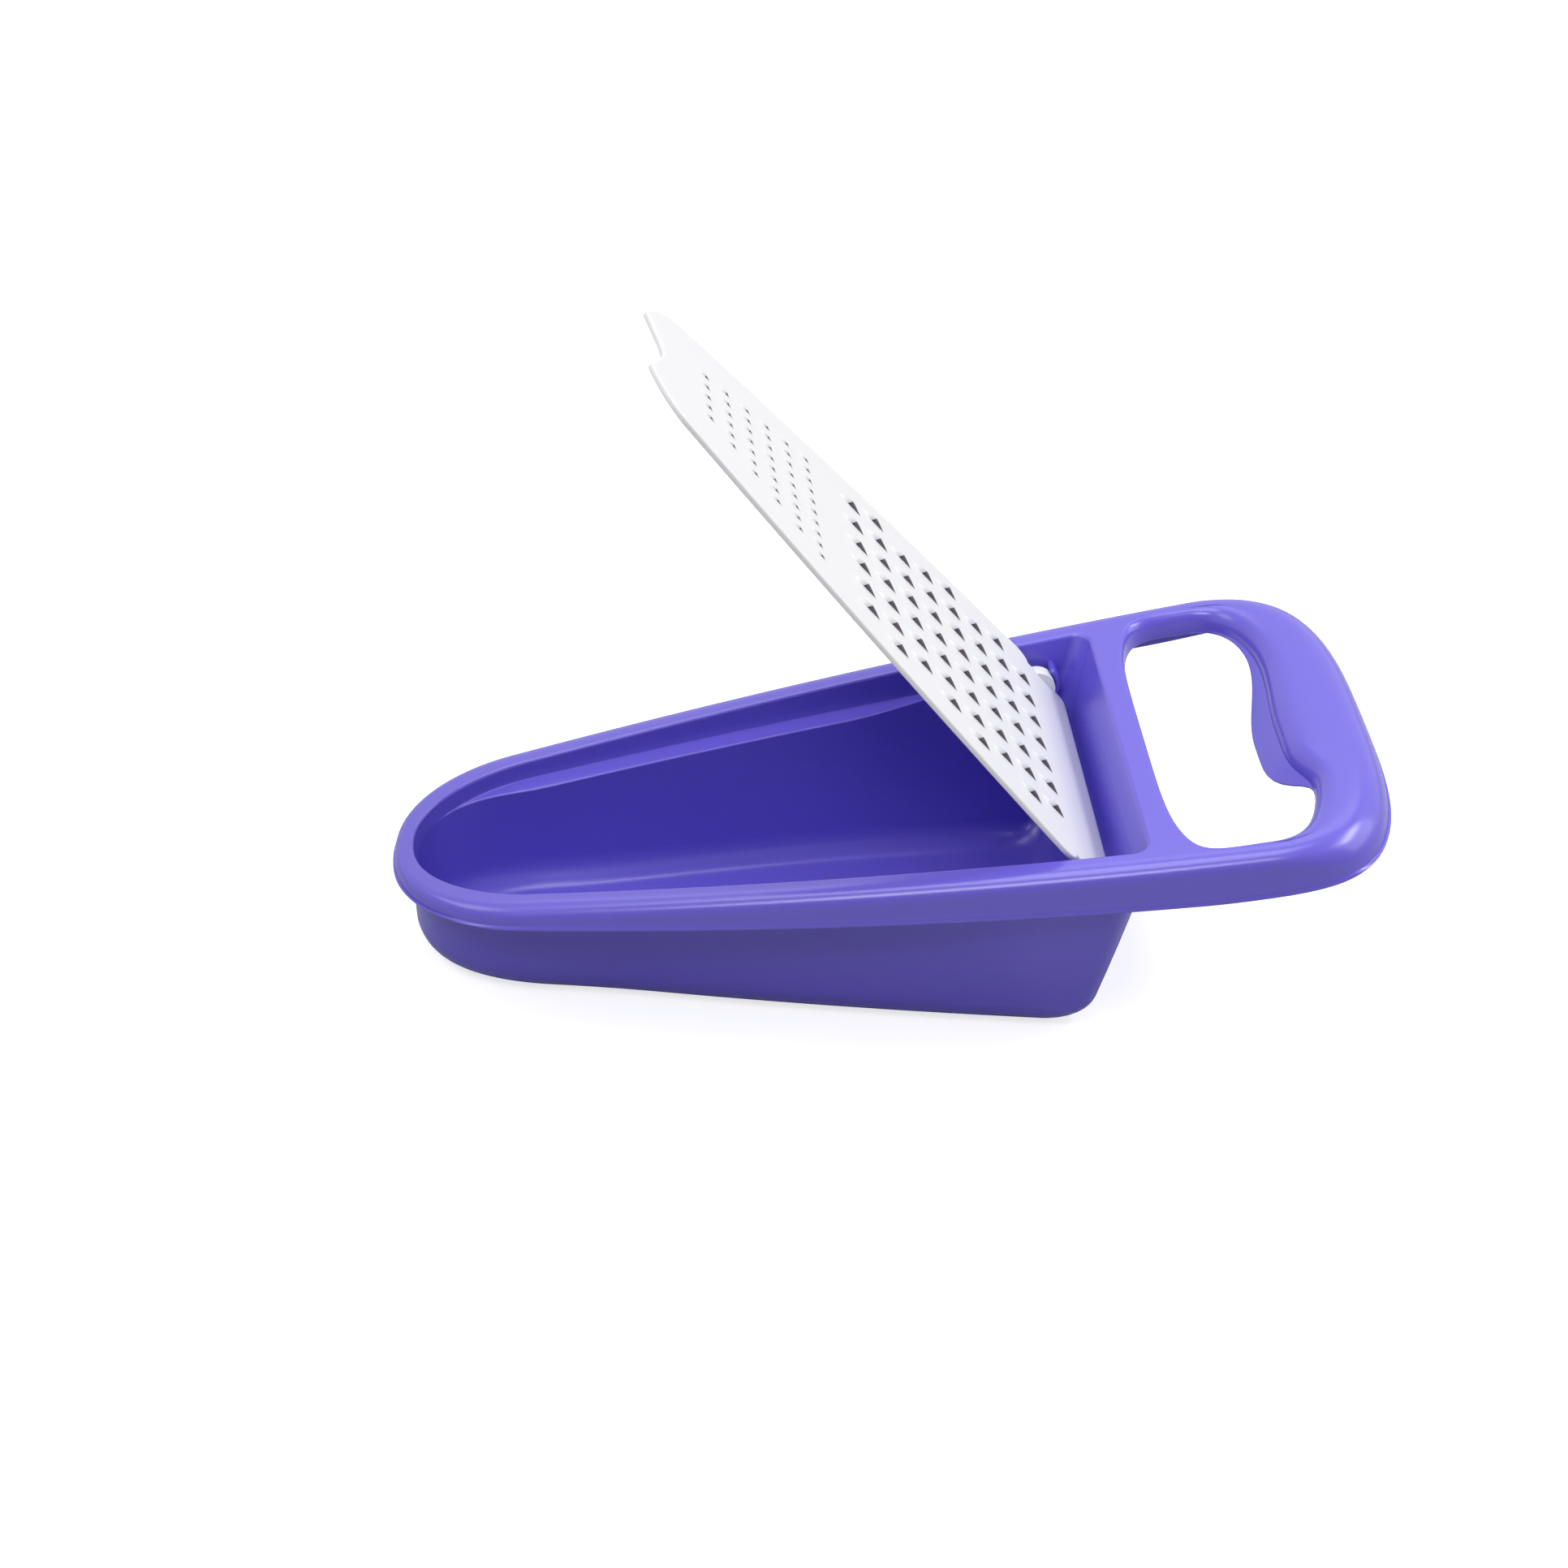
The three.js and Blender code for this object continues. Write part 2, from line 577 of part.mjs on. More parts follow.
function tooth(hood, length, height) {
  const outer = hood.map(([along, across]) => [-along * length, across * length]);
  const middle = outer.reduce(([sx, sy], [x, y]) => [sx + x / outer.length, sy + y / outer.length], [0, 0]);
  const inner = outer.map(([x, y], i) => {
    const reach = Math.hypot(x - middle[0], y - middle[1]);
    const pull = i < 2 ? 0.1 : (TOOTH_SKIN + height * 0.2) / reach;
    const mouth = i < 2 ? -TOOTH_SKIN : 0;
    return [x + (middle[0] - x) * pull, y + (middle[1] - y) * pull * (i < 2 ? 0 : 1) + mouth];
  });
  const peak = new THREE.Vector3(-CREST[0] * length, CREST[1] * length, plateTop + height);
  const roof = new THREE.Vector3(-CREST[0] * length, CREST[1] * length - TOOTH_SKIN, plateTop + height - TOOTH_SKIN);
  return {
    hood: toothPyramid(outer, peak, plateTop, plateTop - PLATE_THICKNESS / 2),
    hollow: toothPyramid(inner, roof, plateTop, plateTop - PLATE_THICKNESS * 2),
  };
}

function toothField(rows, start, rowStep, pitch, unit) {
  const hoods = [];
  const hollows = [];
  rows.forEach((count, row) => {
    for (let i = 0; i < count; i += 1) {
      const x = -start - row * rowStep;
      const y = (i - (count - 1) / 2) * pitch;
      hoods.push(unit.hood.clone().translate(x, y, 0));
      hollows.push(unit.hollow.clone().translate(x, y, 0));
    }
  });
  return { hoods: solid(mergeGeometries(hoods)), hollows: solid(mergeGeometries(hollows)) };
}

// The rows fill the plate from the first row, near the hinge, to the last row, short of the notch
const rowRun = tipReach - LAST_ROW - FIRST_ROW - FIELD_GAP;
const coarseRun = rowRun * COARSE_SHARE;
const coarseRow = coarseRun / (COARSE_ROWS.length - 1);
const fineRow = (rowRun - coarseRun) / (FINE_ROWS.length - 1);
const fineStart = FIRST_ROW + coarseRun + FIELD_GAP;

const coarse = toothField(COARSE_ROWS, FIRST_ROW, coarseRow, COARSE_PITCH,
  tooth(COARSE_HOOD, COARSE_LENGTH, COARSE_HEIGHT));
const fine = toothField(FINE_ROWS, fineStart, fineRow, FINE_PITCH,
  tooth(FINE_HOOD, FINE_LENGTH, FINE_HEIGHT));

const plate = plateBody()
  .subtract(notchCut())
  .add(lugBody(1))
  .add(lugBody(-1))
  .add(coarse.hoods)
  .add(fine.hoods)
  .subtract(coarse.hollows)
  .subtract(fine.hollows);

// Assembly: the rim plane is tilted so that the tray's bottom is level, and the plate stands open

function piece(name, body, color, roughness) {
  const material = new THREE.MeshStandardMaterial({ color, roughness, metalness: 0 });
  const mesh = new THREE.Mesh(geometryOf(body), material);
  mesh.name = name;
  return mesh;
}

const hinged = new THREE.Group();
hinged.position.set(HINGE_X, 0, HINGE_Z);
hinged.rotation.y = radians(OPEN_ANGLE);
hinged.add(piece('grater_plate', plate, WHITE, 0.4));

const rimPlane = new THREE.Group();
rimPlane.rotation.y = -radians(BOTTOM_TILT);
rimPlane.position.z = REAR_DEPTH * Math.cos(radians(BOTTOM_TILT));
rimPlane.add(piece('tray', tray, VIOLET, 0.3));
rimPlane.add(hinged);

const grater = new THREE.Group();
grater.add(rimPlane);

// The origin is under the middle of the overall length
const box = new THREE.Box3().setFromObject(grater, true);
rimPlane.position.x = -(box.min.x + box.max.x) / 2;

export default grater;
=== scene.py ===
import bmesh
import bpy
import numpy as np
from mathutils import Matrix, Vector
from mathutils.geometry import delaunay_2d_cdt


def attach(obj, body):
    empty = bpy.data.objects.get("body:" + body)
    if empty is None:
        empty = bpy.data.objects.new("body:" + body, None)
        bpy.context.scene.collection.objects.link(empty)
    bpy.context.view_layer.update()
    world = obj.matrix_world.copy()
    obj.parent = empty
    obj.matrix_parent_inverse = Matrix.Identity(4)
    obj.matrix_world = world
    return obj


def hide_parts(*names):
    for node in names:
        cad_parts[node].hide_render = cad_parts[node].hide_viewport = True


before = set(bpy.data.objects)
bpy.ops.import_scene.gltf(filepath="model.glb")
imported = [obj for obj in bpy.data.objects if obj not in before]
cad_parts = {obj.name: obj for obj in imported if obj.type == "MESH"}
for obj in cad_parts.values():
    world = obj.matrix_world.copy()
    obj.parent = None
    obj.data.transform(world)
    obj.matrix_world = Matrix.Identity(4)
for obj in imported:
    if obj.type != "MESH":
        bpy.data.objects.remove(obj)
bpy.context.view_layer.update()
scene = bpy.context.scene
scene.view_settings.view_transform = "Standard"

# Camera: the photograph's place and angle, a long lens at about 0.85 m.
# The three directions are the image's right, its down and the way it looks.
CAMERA_PLACE = (-0.09076, -0.6996, 0.48756)
IMAGE_RIGHT = (0.9966, -0.0732, 0.0372)
IMAGE_DOWN = (-0.0079, -0.5358, -0.8443)
SENSOR_MM = 36.0
FOCAL_PIXELS = 4424.57
IMAGE_PIXELS = 1932
NEAREST = 0.01
FARTHEST = 20.0

right = np.array(IMAGE_RIGHT) / np.linalg.norm(IMAGE_RIGHT)
forward = np.cross(right, IMAGE_DOWN)
forward /= np.linalg.norm(forward)
down = np.cross(forward, right)
camera_data = bpy.data.cameras.new("camera")
camera_data.sensor_width = SENSOR_MM
camera_data.lens = SENSOR_MM * FOCAL_PIXELS / IMAGE_PIXELS
camera_data.clip_start = NEAREST
camera_data.clip_end = FARTHEST
camera = bpy.data.objects.new("camera", camera_data)
scene.collection.objects.link(camera)
turned = Matrix(np.stack([right, -down, -forward], axis=1)).to_4x4()
camera.matrix_world = Matrix.Translation(CAMERA_PLACE) @ turned
scene.camera = camera


# Studio: a white room that lights the object evenly, six softboxes for the long highlights,
# and a pale floor that reads as white paper and keeps the object's shadow.
def linear(code):
    """An sRGB hex colour as linear red, green, blue and full alpha."""
    share = np.array([int(code[i:i + 2], 16) for i in (1, 3, 5)]) / 255.0
    value = np.where(share <= 0.04045, share / 12.92, ((share + 0.055) / 1.055) ** 2.4)
    return (*value.tolist(), 1.0)


def add_node(tree, kind, settings=None, links=None):
    """One shader node, with its attributes or input values set and its inputs linked."""
    node = tree.nodes.new(kind)
    for key, value in (settings or {}).items():
        if isinstance(key, int) or key in node.inputs:
            node.inputs[key].default_value = value
        else:
            setattr(node, key, value)
    for key, source in (links or {}).items():
        tree.links.new(source, node.inputs[key])
    return node


# The room is dimmer in front of the object than behind it, and lights it less than it shows in the gloss
ROOM_FRONT = 0.42
ROOM_BACK = 1.0
FRONT_EDGE = -0.8
BACK_EDGE = 0.3
ROOM_LIGHT = 0.2
world = bpy.data.worlds.new("white_room")
scene.world = world
world.use_nodes = True
room = world.node_tree
room.nodes.clear()
way = add_node(room, "ShaderNodeTexCoord")
axes = add_node(room, "ShaderNodeSeparateXYZ", links={"Vector": way.outputs["Generated"]})
wall = add_node(room, "ShaderNodeMapRange",
                {"From Min": FRONT_EDGE, "From Max": BACK_EDGE, "To Min": ROOM_FRONT, "To Max": ROOM_BACK},
                {"Value": axes.outputs["Y"]})
path = add_node(room, "ShaderNodeLightPath")
lit = add_node(room, "ShaderNodeMapRange", {"To Min": ROOM_LIGHT, "To Max": 1.0},
               {"Value": path.outputs["Is Glossy Ray"]})
tone = add_node(room, "ShaderNodeMath", {"operation": "MULTIPLY"},
                {0: wall.outputs["Result"], 1: lit.outputs["Result"]})
seen = add_node(room, "ShaderNodeMath", {"operation": "MAXIMUM"},
                {0: path.outputs["Is Camera Ray"], 1: path.outputs["Is Transmission Ray"]})
level = add_node(room, "ShaderNodeMath", {"operation": "MAXIMUM"}, {0: seen.outputs[0], 1: tone.outputs[0]})
white = add_node(room, "ShaderNodeBackground", {"Color": linear("#ffffff")}, {"Strength": level.outputs[0]})
add_node(room, "ShaderNodeOutputWorld", links={"Surface": white.outputs[0]})

# Each softbox: centre, the point it faces, width and height in metres, watts
SOFTBOXES = {
    "softbox_left": ((-0.8, 0.0, 0.8), (0.0, 0.0, 0.05), 0.5, 0.5, 2.1),
    "softbox_right": ((0.9, 0.0, 0.7), (0.0, 0.0, 0.05), 0.9, 0.9, 5.0),
    "softbox_front": ((-0.25, -0.65, 0.9), (-0.03, 0.0, 0.05), 0.5, 0.35, 3.9),
    "softbox_back": ((0.05, 0.8, 0.95), (0.0, 0.0, 0.05), 0.9, 0.4, 1.5),
    "softbox_strip": ((0.88, 0.08, 1.05), (0.1, -0.05, 0.06), 0.7, 0.2, 4.3),
    "softbox_top": ((-0.15, 0.1, 1.2), (0.0, 0.0, 0.05), 0.6, 0.6, 4.3),
}
for name, (place, target, wide, tall, watts) in SOFTBOXES.items():
    lamp = bpy.data.lights.new(name, "AREA")
    lamp.shape = "RECTANGLE"
    lamp.size = wide
    lamp.size_y = tall
    lamp.energy = watts
    box = bpy.data.objects.new(name, lamp)
    scene.collection.objects.link(box)
    aim = (Vector(target) - Vector(place)).to_track_quat("-Z", "Y")
    box.matrix_world = Matrix.Translation(place) @ aim.to_matrix().to_4x4()

FLOOR_HALF = 3.0
FLOOR_DROP = 0.0002
FLOOR_GLOW = 0.74
PAPER = "#c8c8c8"
floor_mesh = bpy.data.meshes.new("floor")
corners = np.array([(-1, -1, 0), (1, -1, 0), (1, 1, 0), (-1, 1, 0)]) * FLOOR_HALF
floor_mesh.from_pydata(corners.tolist(), [], [(0, 1, 2, 3)])
floor = bpy.data.objects.new("floor", floor_mesh)
scene.collection.objects.link(floor)
floor.location.z = -FLOOR_DROP
paper = bpy.data.materials.new("white_paper")
paper.use_nodes = True
tree = paper.node_tree
tree.nodes.clear()
path = add_node(tree, "ShaderNodeLightPath")
glow = add_node(tree, "ShaderNodeMath", {"operation": "MULTIPLY", 1: FLOOR_GLOW},
                {0: path.outputs["Is Camera Ray"]})
surface = add_node(tree, "ShaderNodeBsdfPrincipled", {
    "Base Color": linear(PAPER), "Roughness": 0.9, "Specular IOR Level": 0.0,
    "Emission Color": linear("#ffffff")}, {"Emission Strength": glow.outputs[0]})
add_node(tree, "ShaderNodeOutputMaterial", links={"Surface": surface.outputs[0]})
floor_mesh.materials.append(paper)


# Tray: one injection moulding in glossy violet plastic. A tapered tub with an even wall, a rolled rim
# with a hanging skirt, a ledge for the closed plate, and a D handle with a rolled hand hole.
# All tray sizes are millimetres in the plane of the rim: x = 0 at the opening's rear edge, z = 0 on top.
MM = 0.001
OPENING_LENGTH = 166.1
REAR_HALF_WIDTH = 48.3
NOSE_HALF_WIDTH = 21.9
SIDE_BOW = 3.1
NOSE_LENGTH = 28.0
NOSE_SQUARENESS = 2.3
WALL = 2.0
REAR_DEPTH = 56.4
BOTTOM_TILT = np.radians(9.7)
SIDE_DRAFT = 0.05
REAR_DRAFT = 0.35
OUTER_FILLET = 9.0
REAR_CORNER = 4.0
CORNER_GROWTH = 0.5
CORNER_SPREAD = 0.4
REAR_FILLET = 0.82
NOSE_THICKENING = 0.7
NOSE_FILLET = 0.9
EDGE_ROUND = 0.8
REAR_EDGE_ROUND = 0.8
INNER_CREASE = 0.25
RIM_WIDTH = 8.0
RIM_AT_NOSE = 5.54
RIM_NOSE_LENGTH = 24.5
RIM_ROUND = 3.7
ROLL_AT_NOSE = 2.6
ROLL_ON_SIDE = 4.7
ROLL_ON_GRIP = 8.6
SKIRT_DRAFT = 0.6
SKIRT_AT_NOSE = 4.0
SKIRT_AT_HANDLE = 12.2
SKIRT_AT_END = 9.9
SKIRT_RISE = 49.0
SKIRT_CURVE = 1.4
LIP_ROUND = 0.8
LIP_LIMIT = 0.9
LIP_BEAD = 0.45
BEAD_HEIGHT = 0.8
BEAD_LIMIT = 0.6
BEAD_DIP = 0.45
BEAD_HOLLOW = 0.35
HANDLE_LENGTH = 57.1
HANDLE_END = 28.9
HANDLE_SQUARENESS = 3.05
GRIP_ROUND = 9.0
GRIP_LEAD = 4.0
CROSS_BAR = 4.8
SIDE_BAR = 8.2
GRIP_WIDTH = 16.2
HOLE_FRONT_SQUARENESS = 4.6
HOLE_REAR_SQUARENESS = 2.6
HOLE_CORNER = 0.75 * np.pi
HOLE_SKIRT = 6.2
FINGER_SWELL = 5.4
SWELL_FAR = (30.0, 2.0)
SWELL_NEAR = (20.6, 5.0)
SWELL_SKIRT = 9.8
FINGER_LEAN = 5.0
HOLE_ROUND = 4.5
HOLE_ROLL = 0.52
GRIP_EDGE_ROUND = 5.4
GRIP_ROLL = 1.05
CROSS_BAR_ROUND = 0.25
SWELL_ROLL = 3.4
HINGE_X = -15.4
HINGE_Z = -9.4
LUG_RADIUS = 4.5
RUNNING_GAP = 0.3
PLATE_THICKNESS = 1.4
PLATE_RISE = 2.66
LEDGE_TILT = np.radians(1.78)
LEDGE_WIDTH = 5.2
LEDGE_FADE = 30.0
WALL_FADE = 52.0
LEDGE_LIP = 0.2
LEDGE_RUNOUT = 36.0
RUNOUT_LEAD = 6.5
LEDGE_ROUND = 0.4
LEDGE_HOLLOW = ((0.02, -0.35), (0.09, -0.08), (0.2, 0.0))
CORNER_MEET = 5.0
MIDDLE_SHIFT = 55.310

# How finely each stretch is drawn, in steps, and how much the side's points crowd towards the rear
NOSE_STEPS = 24
SIDE_STEPS = 40
CORNER_STEPS = 8
REAR_STEPS = 10
ARM_STEPS = 14
END_STEPS = 36
ACROSS_STEPS = 4
ROUND_STEPS = 8
ROLL_STEPS = 14
FRONT_STEPS = CORNER_STEPS // 2 + REAR_STEPS
TUB_CROWDING = 1.6
RIM_CROWDING = 1.45


def smooth(x, low, high):
    """0 below low, 1 above high, and an S curve (3t^2 - 2t^3) between."""
    t = np.clip((x - low) / (high - low), 0, 1)
    return t * t * (3 - 2 * t)


def mix(a, b, share):
    """The value that lies the given share of the way from a to b."""
    return a + (b - a) * share


def side_half(x):
    """Half width of the opening: straight from rear to nose, plus a parabola for the bowed side."""
    t = -x / OPENING_LENGTH
    return REAR_HALF_WIDTH + (NOSE_HALF_WIDTH - REAR_HALF_WIDTH) * t + 4 * SIDE_BOW * t * (1 - t)


def rounded_share(cosine, power):
    """The other leg of a superellipse: (1 - c^p)^(1/p)."""
    return np.maximum(1 - cosine ** power, 0) ** (1 / power)


bottom_slope = np.tan(BOTTOM_TILT)
ledge_end = HINGE_X - LUG_RADIUS - RUNOUT_LEAD
rear_top = -EDGE_ROUND - RUNNING_GAP


def plate_underside(x):
    """Height of the closed plate's underside: a straight line that falls towards the hinge."""
    return HINGE_Z + (PLATE_RISE - PLATE_THICKNESS + (HINGE_X - x) * np.sin(LEDGE_TILT)) / np.cos(LEDGE_TILT)


def ledge_top(x):
    """The ledge lies a running gap under the plate."""
    return plate_underside(x) - RUNNING_GAP


def ledge_share(x):
    """The ledge grows from nothing at the nose to its full width."""
    start = -OPENING_LENGTH + WALL
    return smooth(x, start, start + LEDGE_FADE)


def wall_share(x):
    """How far the wall below the ledge has moved in: it eases from nothing at the nose tip to 1, so
    that the side stays straight."""
    along = np.clip((x + OPENING_LENGTH) / WALL_FADE, 0, 1)
    return 1 - (1 - along) ** 2


def ledge_width(x):
    """Its width, which also runs out to nothing before the hinge."""
    return LEDGE_WIDTH * ledge_share(x) * (1 - smooth(x, ledge_end - LEDGE_RUNOUT, ledge_end))


upper_inset = -SIDE_DRAFT * plate_underside(HINGE_X)


def tub_line(inset, nose, rear, corner, height):
    """Half a level line of the tub, from the nose tip to the middle of the rear: a superellipse nose,
    the bowed side moved in by inset(x), a round rear corner and the straight rear edge."""
    shoulder = NOSE_LENGTH - OPENING_LENGTH
    tip = nose - OPENING_LENGTH
    cosine = np.cos(np.linspace(0, np.pi / 2, NOSE_STEPS + 1))
    nose_x = shoulder - (shoulder - tip) * cosine
    nose_y = (side_half(nose_x) - inset(nose_x)) * rounded_share(cosine, NOSE_SQUARENESS)
    bend = rear - corner
    side_x = mix(shoulder, bend, 1 - (1 - np.arange(1, SIDE_STEPS + 1) / SIDE_STEPS) ** TUB_CROWDING)
    side_y = side_half(side_x) - inset(side_x)
    turn = np.linspace(0, np.pi / 2, CORNER_STEPS + 1)[1:]
    corner_x = bend + corner * np.sin(turn)
    corner_y = side_y[-1] - corner + corner * np.cos(turn)
    rear_y = (side_y[-1] - corner) * np.linspace(1, 0, REAR_STEPS + 1)[1:]
    x = np.concatenate([nose_x, side_x, corner_x, np.full(REAR_STEPS, rear)])
    y = np.concatenate([nose_y, side_y, corner_y, rear_y])
    return np.stack([x, y, height(x)], axis=1)


def tub_skin(out):
    """The tub's level lines from the rim down to the floor and in to its middle, stacked to a grid.
    out is 0 for the inside and the wall's thickness for the outside."""
    edge = EDGE_ROUND if out == 0 else INNER_CREASE
    rear_edge = REAR_EDGE_ROUND if out == 0 else INNER_CREASE
    fillet = OUTER_FILLET - WALL + out
    plan = REAR_CORNER + out
    upper = upper_inset - out
    nose_out = out + (NOSE_THICKENING if out > 0 else 0)
    rear_base = rear_top + out * np.hypot(1, REAR_DRAFT)

    def floor_level(x):
        return -REAR_DEPTH + WALL - out - bottom_slope * x

    def foot(x):
        return upper + ledge_width(x)

    def lower(x):
        rise = np.maximum(ledge_top(x) - LEDGE_LIP - floor_level(x) - fillet, 0)
        return upper + LEDGE_WIDTH * wall_share(x) + SIDE_DRAFT * rise

    def edge_of_ledge(x):
        return np.minimum(LEDGE_ROUND, ledge_width(x) / 3)

    ledge_rear = rear_base + REAR_DRAFT * (ledge_top(0) - out)
    fillet_rear = (rear_base + REAR_DRAFT * (floor_level(0) + fillet)) / (1 + REAR_DRAFT * bottom_slope)
    low_rear = (rear_base + REAR_DRAFT * (WALL - out - REAR_DEPTH)) / (1 + REAR_DRAFT * bottom_slope)
    rear_turn = fillet_rear - REAR_DRAFT * fillet - (low_rear - REAR_FILLET * fillet)
    lines = []
    for turn in np.linspace(0, np.pi / 2, ROUND_STEPS - 1):
        rest = 1 - np.sin(turn)
        z = -out - edge * (1 - np.cos(turn))
        inset = -out - edge * rest
        lines.append(tub_line(lambda x: inset, inset, rear_base + REAR_DRAFT * z + rear_edge * rest, plan,
                              lambda x: np.full_like(x, z)))
    start = -out - edge
    for share in (0.3, 0.6, 0.9):
        inset = mix(-out, upper, share)
        rear = mix(rear_base + REAR_DRAFT * start, ledge_rear, share)
        lines.append(tub_line(lambda x: inset, inset, rear, plan,
                              lambda x: mix(start, ledge_top(x) - out, share)))
    for along, drop in LEDGE_HOLLOW:
        lines.append(tub_line(lambda x: upper + along * ledge_width(x), upper, ledge_rear, plan,
                              lambda x: ledge_top(x) - out - drop * edge_of_ledge(x)))
    for turn in np.linspace(0, np.pi / 2, 5):
        back = 1 - np.sin(turn)
        fall = 1 - np.cos(turn)
        lines.append(tub_line(lambda x: foot(x) - edge_of_ledge(x) * back, upper, ledge_rear, plan,
                              lambda x: ledge_top(x) - LEDGE_LIP - out - edge_of_ledge(x) * fall))
    for share in (0.25, 0.5, 0.75):
        lines.append(tub_line(lambda x: mix(foot(x), lower(x), share), mix(upper, -nose_out, share),
                              mix(ledge_rear, fillet_rear, share), plan + CORNER_GROWTH * share,
                              lambda x: mix(ledge_top(x) - LEDGE_LIP - out - edge_of_ledge(x),
                                            floor_level(x) + fillet, share)))
    for turn in np.linspace(0, np.pi / 2, 2 * ROUND_STEPS):
        side = fillet * (1 - np.cos(turn))
        lift = fillet * (1 - np.sin(turn))
        back = fillet_rear - REAR_DRAFT * fillet * np.sin(turn) - rear_turn * (1 - np.cos(turn))
        lines.append(tub_line(lambda x: lower(x) + side, side * NOSE_FILLET - nose_out, back,
                              plan + CORNER_GROWTH + side * CORNER_SPREAD, lambda x: floor_level(x) + lift))
    last = lines[-1]
    middle = np.array([last[:, 0].mean(), 0.0, floor_level(last[:, 0].mean())])
    for share in (0.3, 0.6, 1.0):
        lines.append(mix(last, middle, share))
    return np.stack(lines)


def right_normals(line):
    """Unit normals to the right of a half line that starts and ends on the middle plane."""
    padded = np.vstack([line[1] * (1, -1), line, line[-2] * (1, -1)])
    along = padded[2:] - padded[:-2]
    along /= np.linalg.norm(along, axis=1, keepdims=True)
    return np.stack([along[:, 1], -along[:, 0]], axis=1)


def offset_lines(line, profile):
    """A profile carried along a half line: each (offset, height) pair gives one line of the grid."""
    normal = right_normals(line)
    rows = []
    for offset, height in profile:
        flat = line + normal * np.broadcast_to(offset, len(line))[:, None]
        rows.append(np.column_stack([flat, np.broadcast_to(height, len(line))]))
    return np.stack(rows)


handle_shoulder = HANDLE_LENGTH - HANDLE_END


def outer_half(x):
    """Half width of rim and handle."""
    return side_half(np.minimum(x, handle_shoulder)) + RIM_WIDTH


def outer_line():
    """Half the outer outline: superellipse nose, bowed side, and a superellipse round the handle's end."""
    shoulder = RIM_NOSE_LENGTH - OPENING_LENGTH
    tip = -OPENING_LENGTH - RIM_AT_NOSE
    cosine = np.cos(np.linspace(0, np.pi / 2, NOSE_STEPS + 1))
    nose_x = shoulder - (shoulder - tip) * cosine
    nose_y = outer_half(nose_x) * rounded_share(cosine, NOSE_SQUARENESS)
    steps = SIDE_STEPS + CORNER_STEPS // 2
    side_x = mix(shoulder, CORNER_MEET, 1 - (1 - np.arange(1, steps + 1) / steps) ** RIM_CROWDING)
    arm_x = np.linspace(CORNER_MEET, handle_shoulder, ARM_STEPS + 1)[1:]
    turn = np.linspace(0, np.pi / 2, END_STEPS + 1)[1:]
    power = HANDLE_SQUARENESS
    reach = (np.sin(turn) ** power + np.abs(np.cos(turn)) ** power) ** (-1 / power)
    end_x = handle_shoulder + HANDLE_END * np.sin(turn) * reach
    end_y = outer_half(handle_shoulder) * np.cos(turn) * reach
    x = np.concatenate([nose_x, side_x, arm_x, end_x])
    y = np.concatenate([nose_y, outer_half(side_x), outer_half(arm_x), end_y])
    y[-1] = 0
    return np.stack([x, y], axis=1)


hole_front = CROSS_BAR
hole_rear = HANDLE_LENGTH - GRIP_WIDTH
hole_middle = (hole_front + hole_rear) / 2
hole_reach = (hole_rear - hole_front) / 2
hole_half = outer_half(hole_middle) - SIDE_BAR


def swell_at(y, spread, power):
    """How far the finger swell stands out across the grip: a bell that falls as exp(-(y / spread)^power)."""
    return np.exp(-np.abs(y / spread) ** power)


def hole_line(spread, power):
    """Half the hand hole from the middle of its front to the middle of its rear: two half superellipses,
    square in front and rounder behind, with the finger swell taken off the rear."""
    front = np.linspace(np.pi, HOLE_CORNER, FRONT_STEPS + 1)
    rest = np.linspace(HOLE_CORNER, 0, ARM_STEPS + END_STEPS + 1)[1:]
    turn = np.concatenate([front, rest])
    c = np.cos(turn)
    s = np.abs(np.sin(turn))
    square = np.where(c > 0, HOLE_REAR_SQUARENESS, HOLE_FRONT_SQUARENESS)
    reach = (np.abs(c) ** square + s ** square) ** (-1 / square)
    y = hole_half * s * reach
    y[[0, -1]] = 0
    swell = np.where(c > 0, FINGER_SWELL * swell_at(y, spread, power), 0)
    return np.stack([hole_middle + hole_reach * c * reach - swell, y], axis=1)


outer = outer_line()
overall = OPENING_LENGTH + RIM_AT_NOSE + HANDLE_LENGTH
ox = outer[:, 0]
along_rim = np.clip((HANDLE_LENGTH - ox) / overall, 0, 1)
skirt_foot = (-SKIRT_AT_HANDLE + (SKIRT_AT_HANDLE - SKIRT_AT_NOSE) * along_rim ** SKIRT_CURVE
              + (SKIRT_AT_HANDLE - SKIRT_AT_END) * smooth(ox, HANDLE_LENGTH - SKIRT_RISE, HANDLE_LENGTH))
grip_share = smooth(ox, handle_shoulder - GRIP_LEAD, HANDLE_LENGTH - GRIP_ROUND)
rim_round = mix(RIM_ROUND, GRIP_ROUND, grip_share)
lip_round = np.minimum(LIP_ROUND, (-skirt_foot - rim_round) * LIP_LIMIT)
nose_share = smooth(ox, -OPENING_LENGTH - RIM_AT_NOSE, NOSE_LENGTH - OPENING_LENGTH)
roll = mix(mix(ROLL_AT_NOSE, ROLL_ON_SIDE, nose_share), ROLL_ON_GRIP, grip_share)
quarter = np.linspace(0, np.pi / 2, ROUND_STEPS + 1)
half_turn = np.linspace(0, np.pi, ROUND_STEPS + 1)


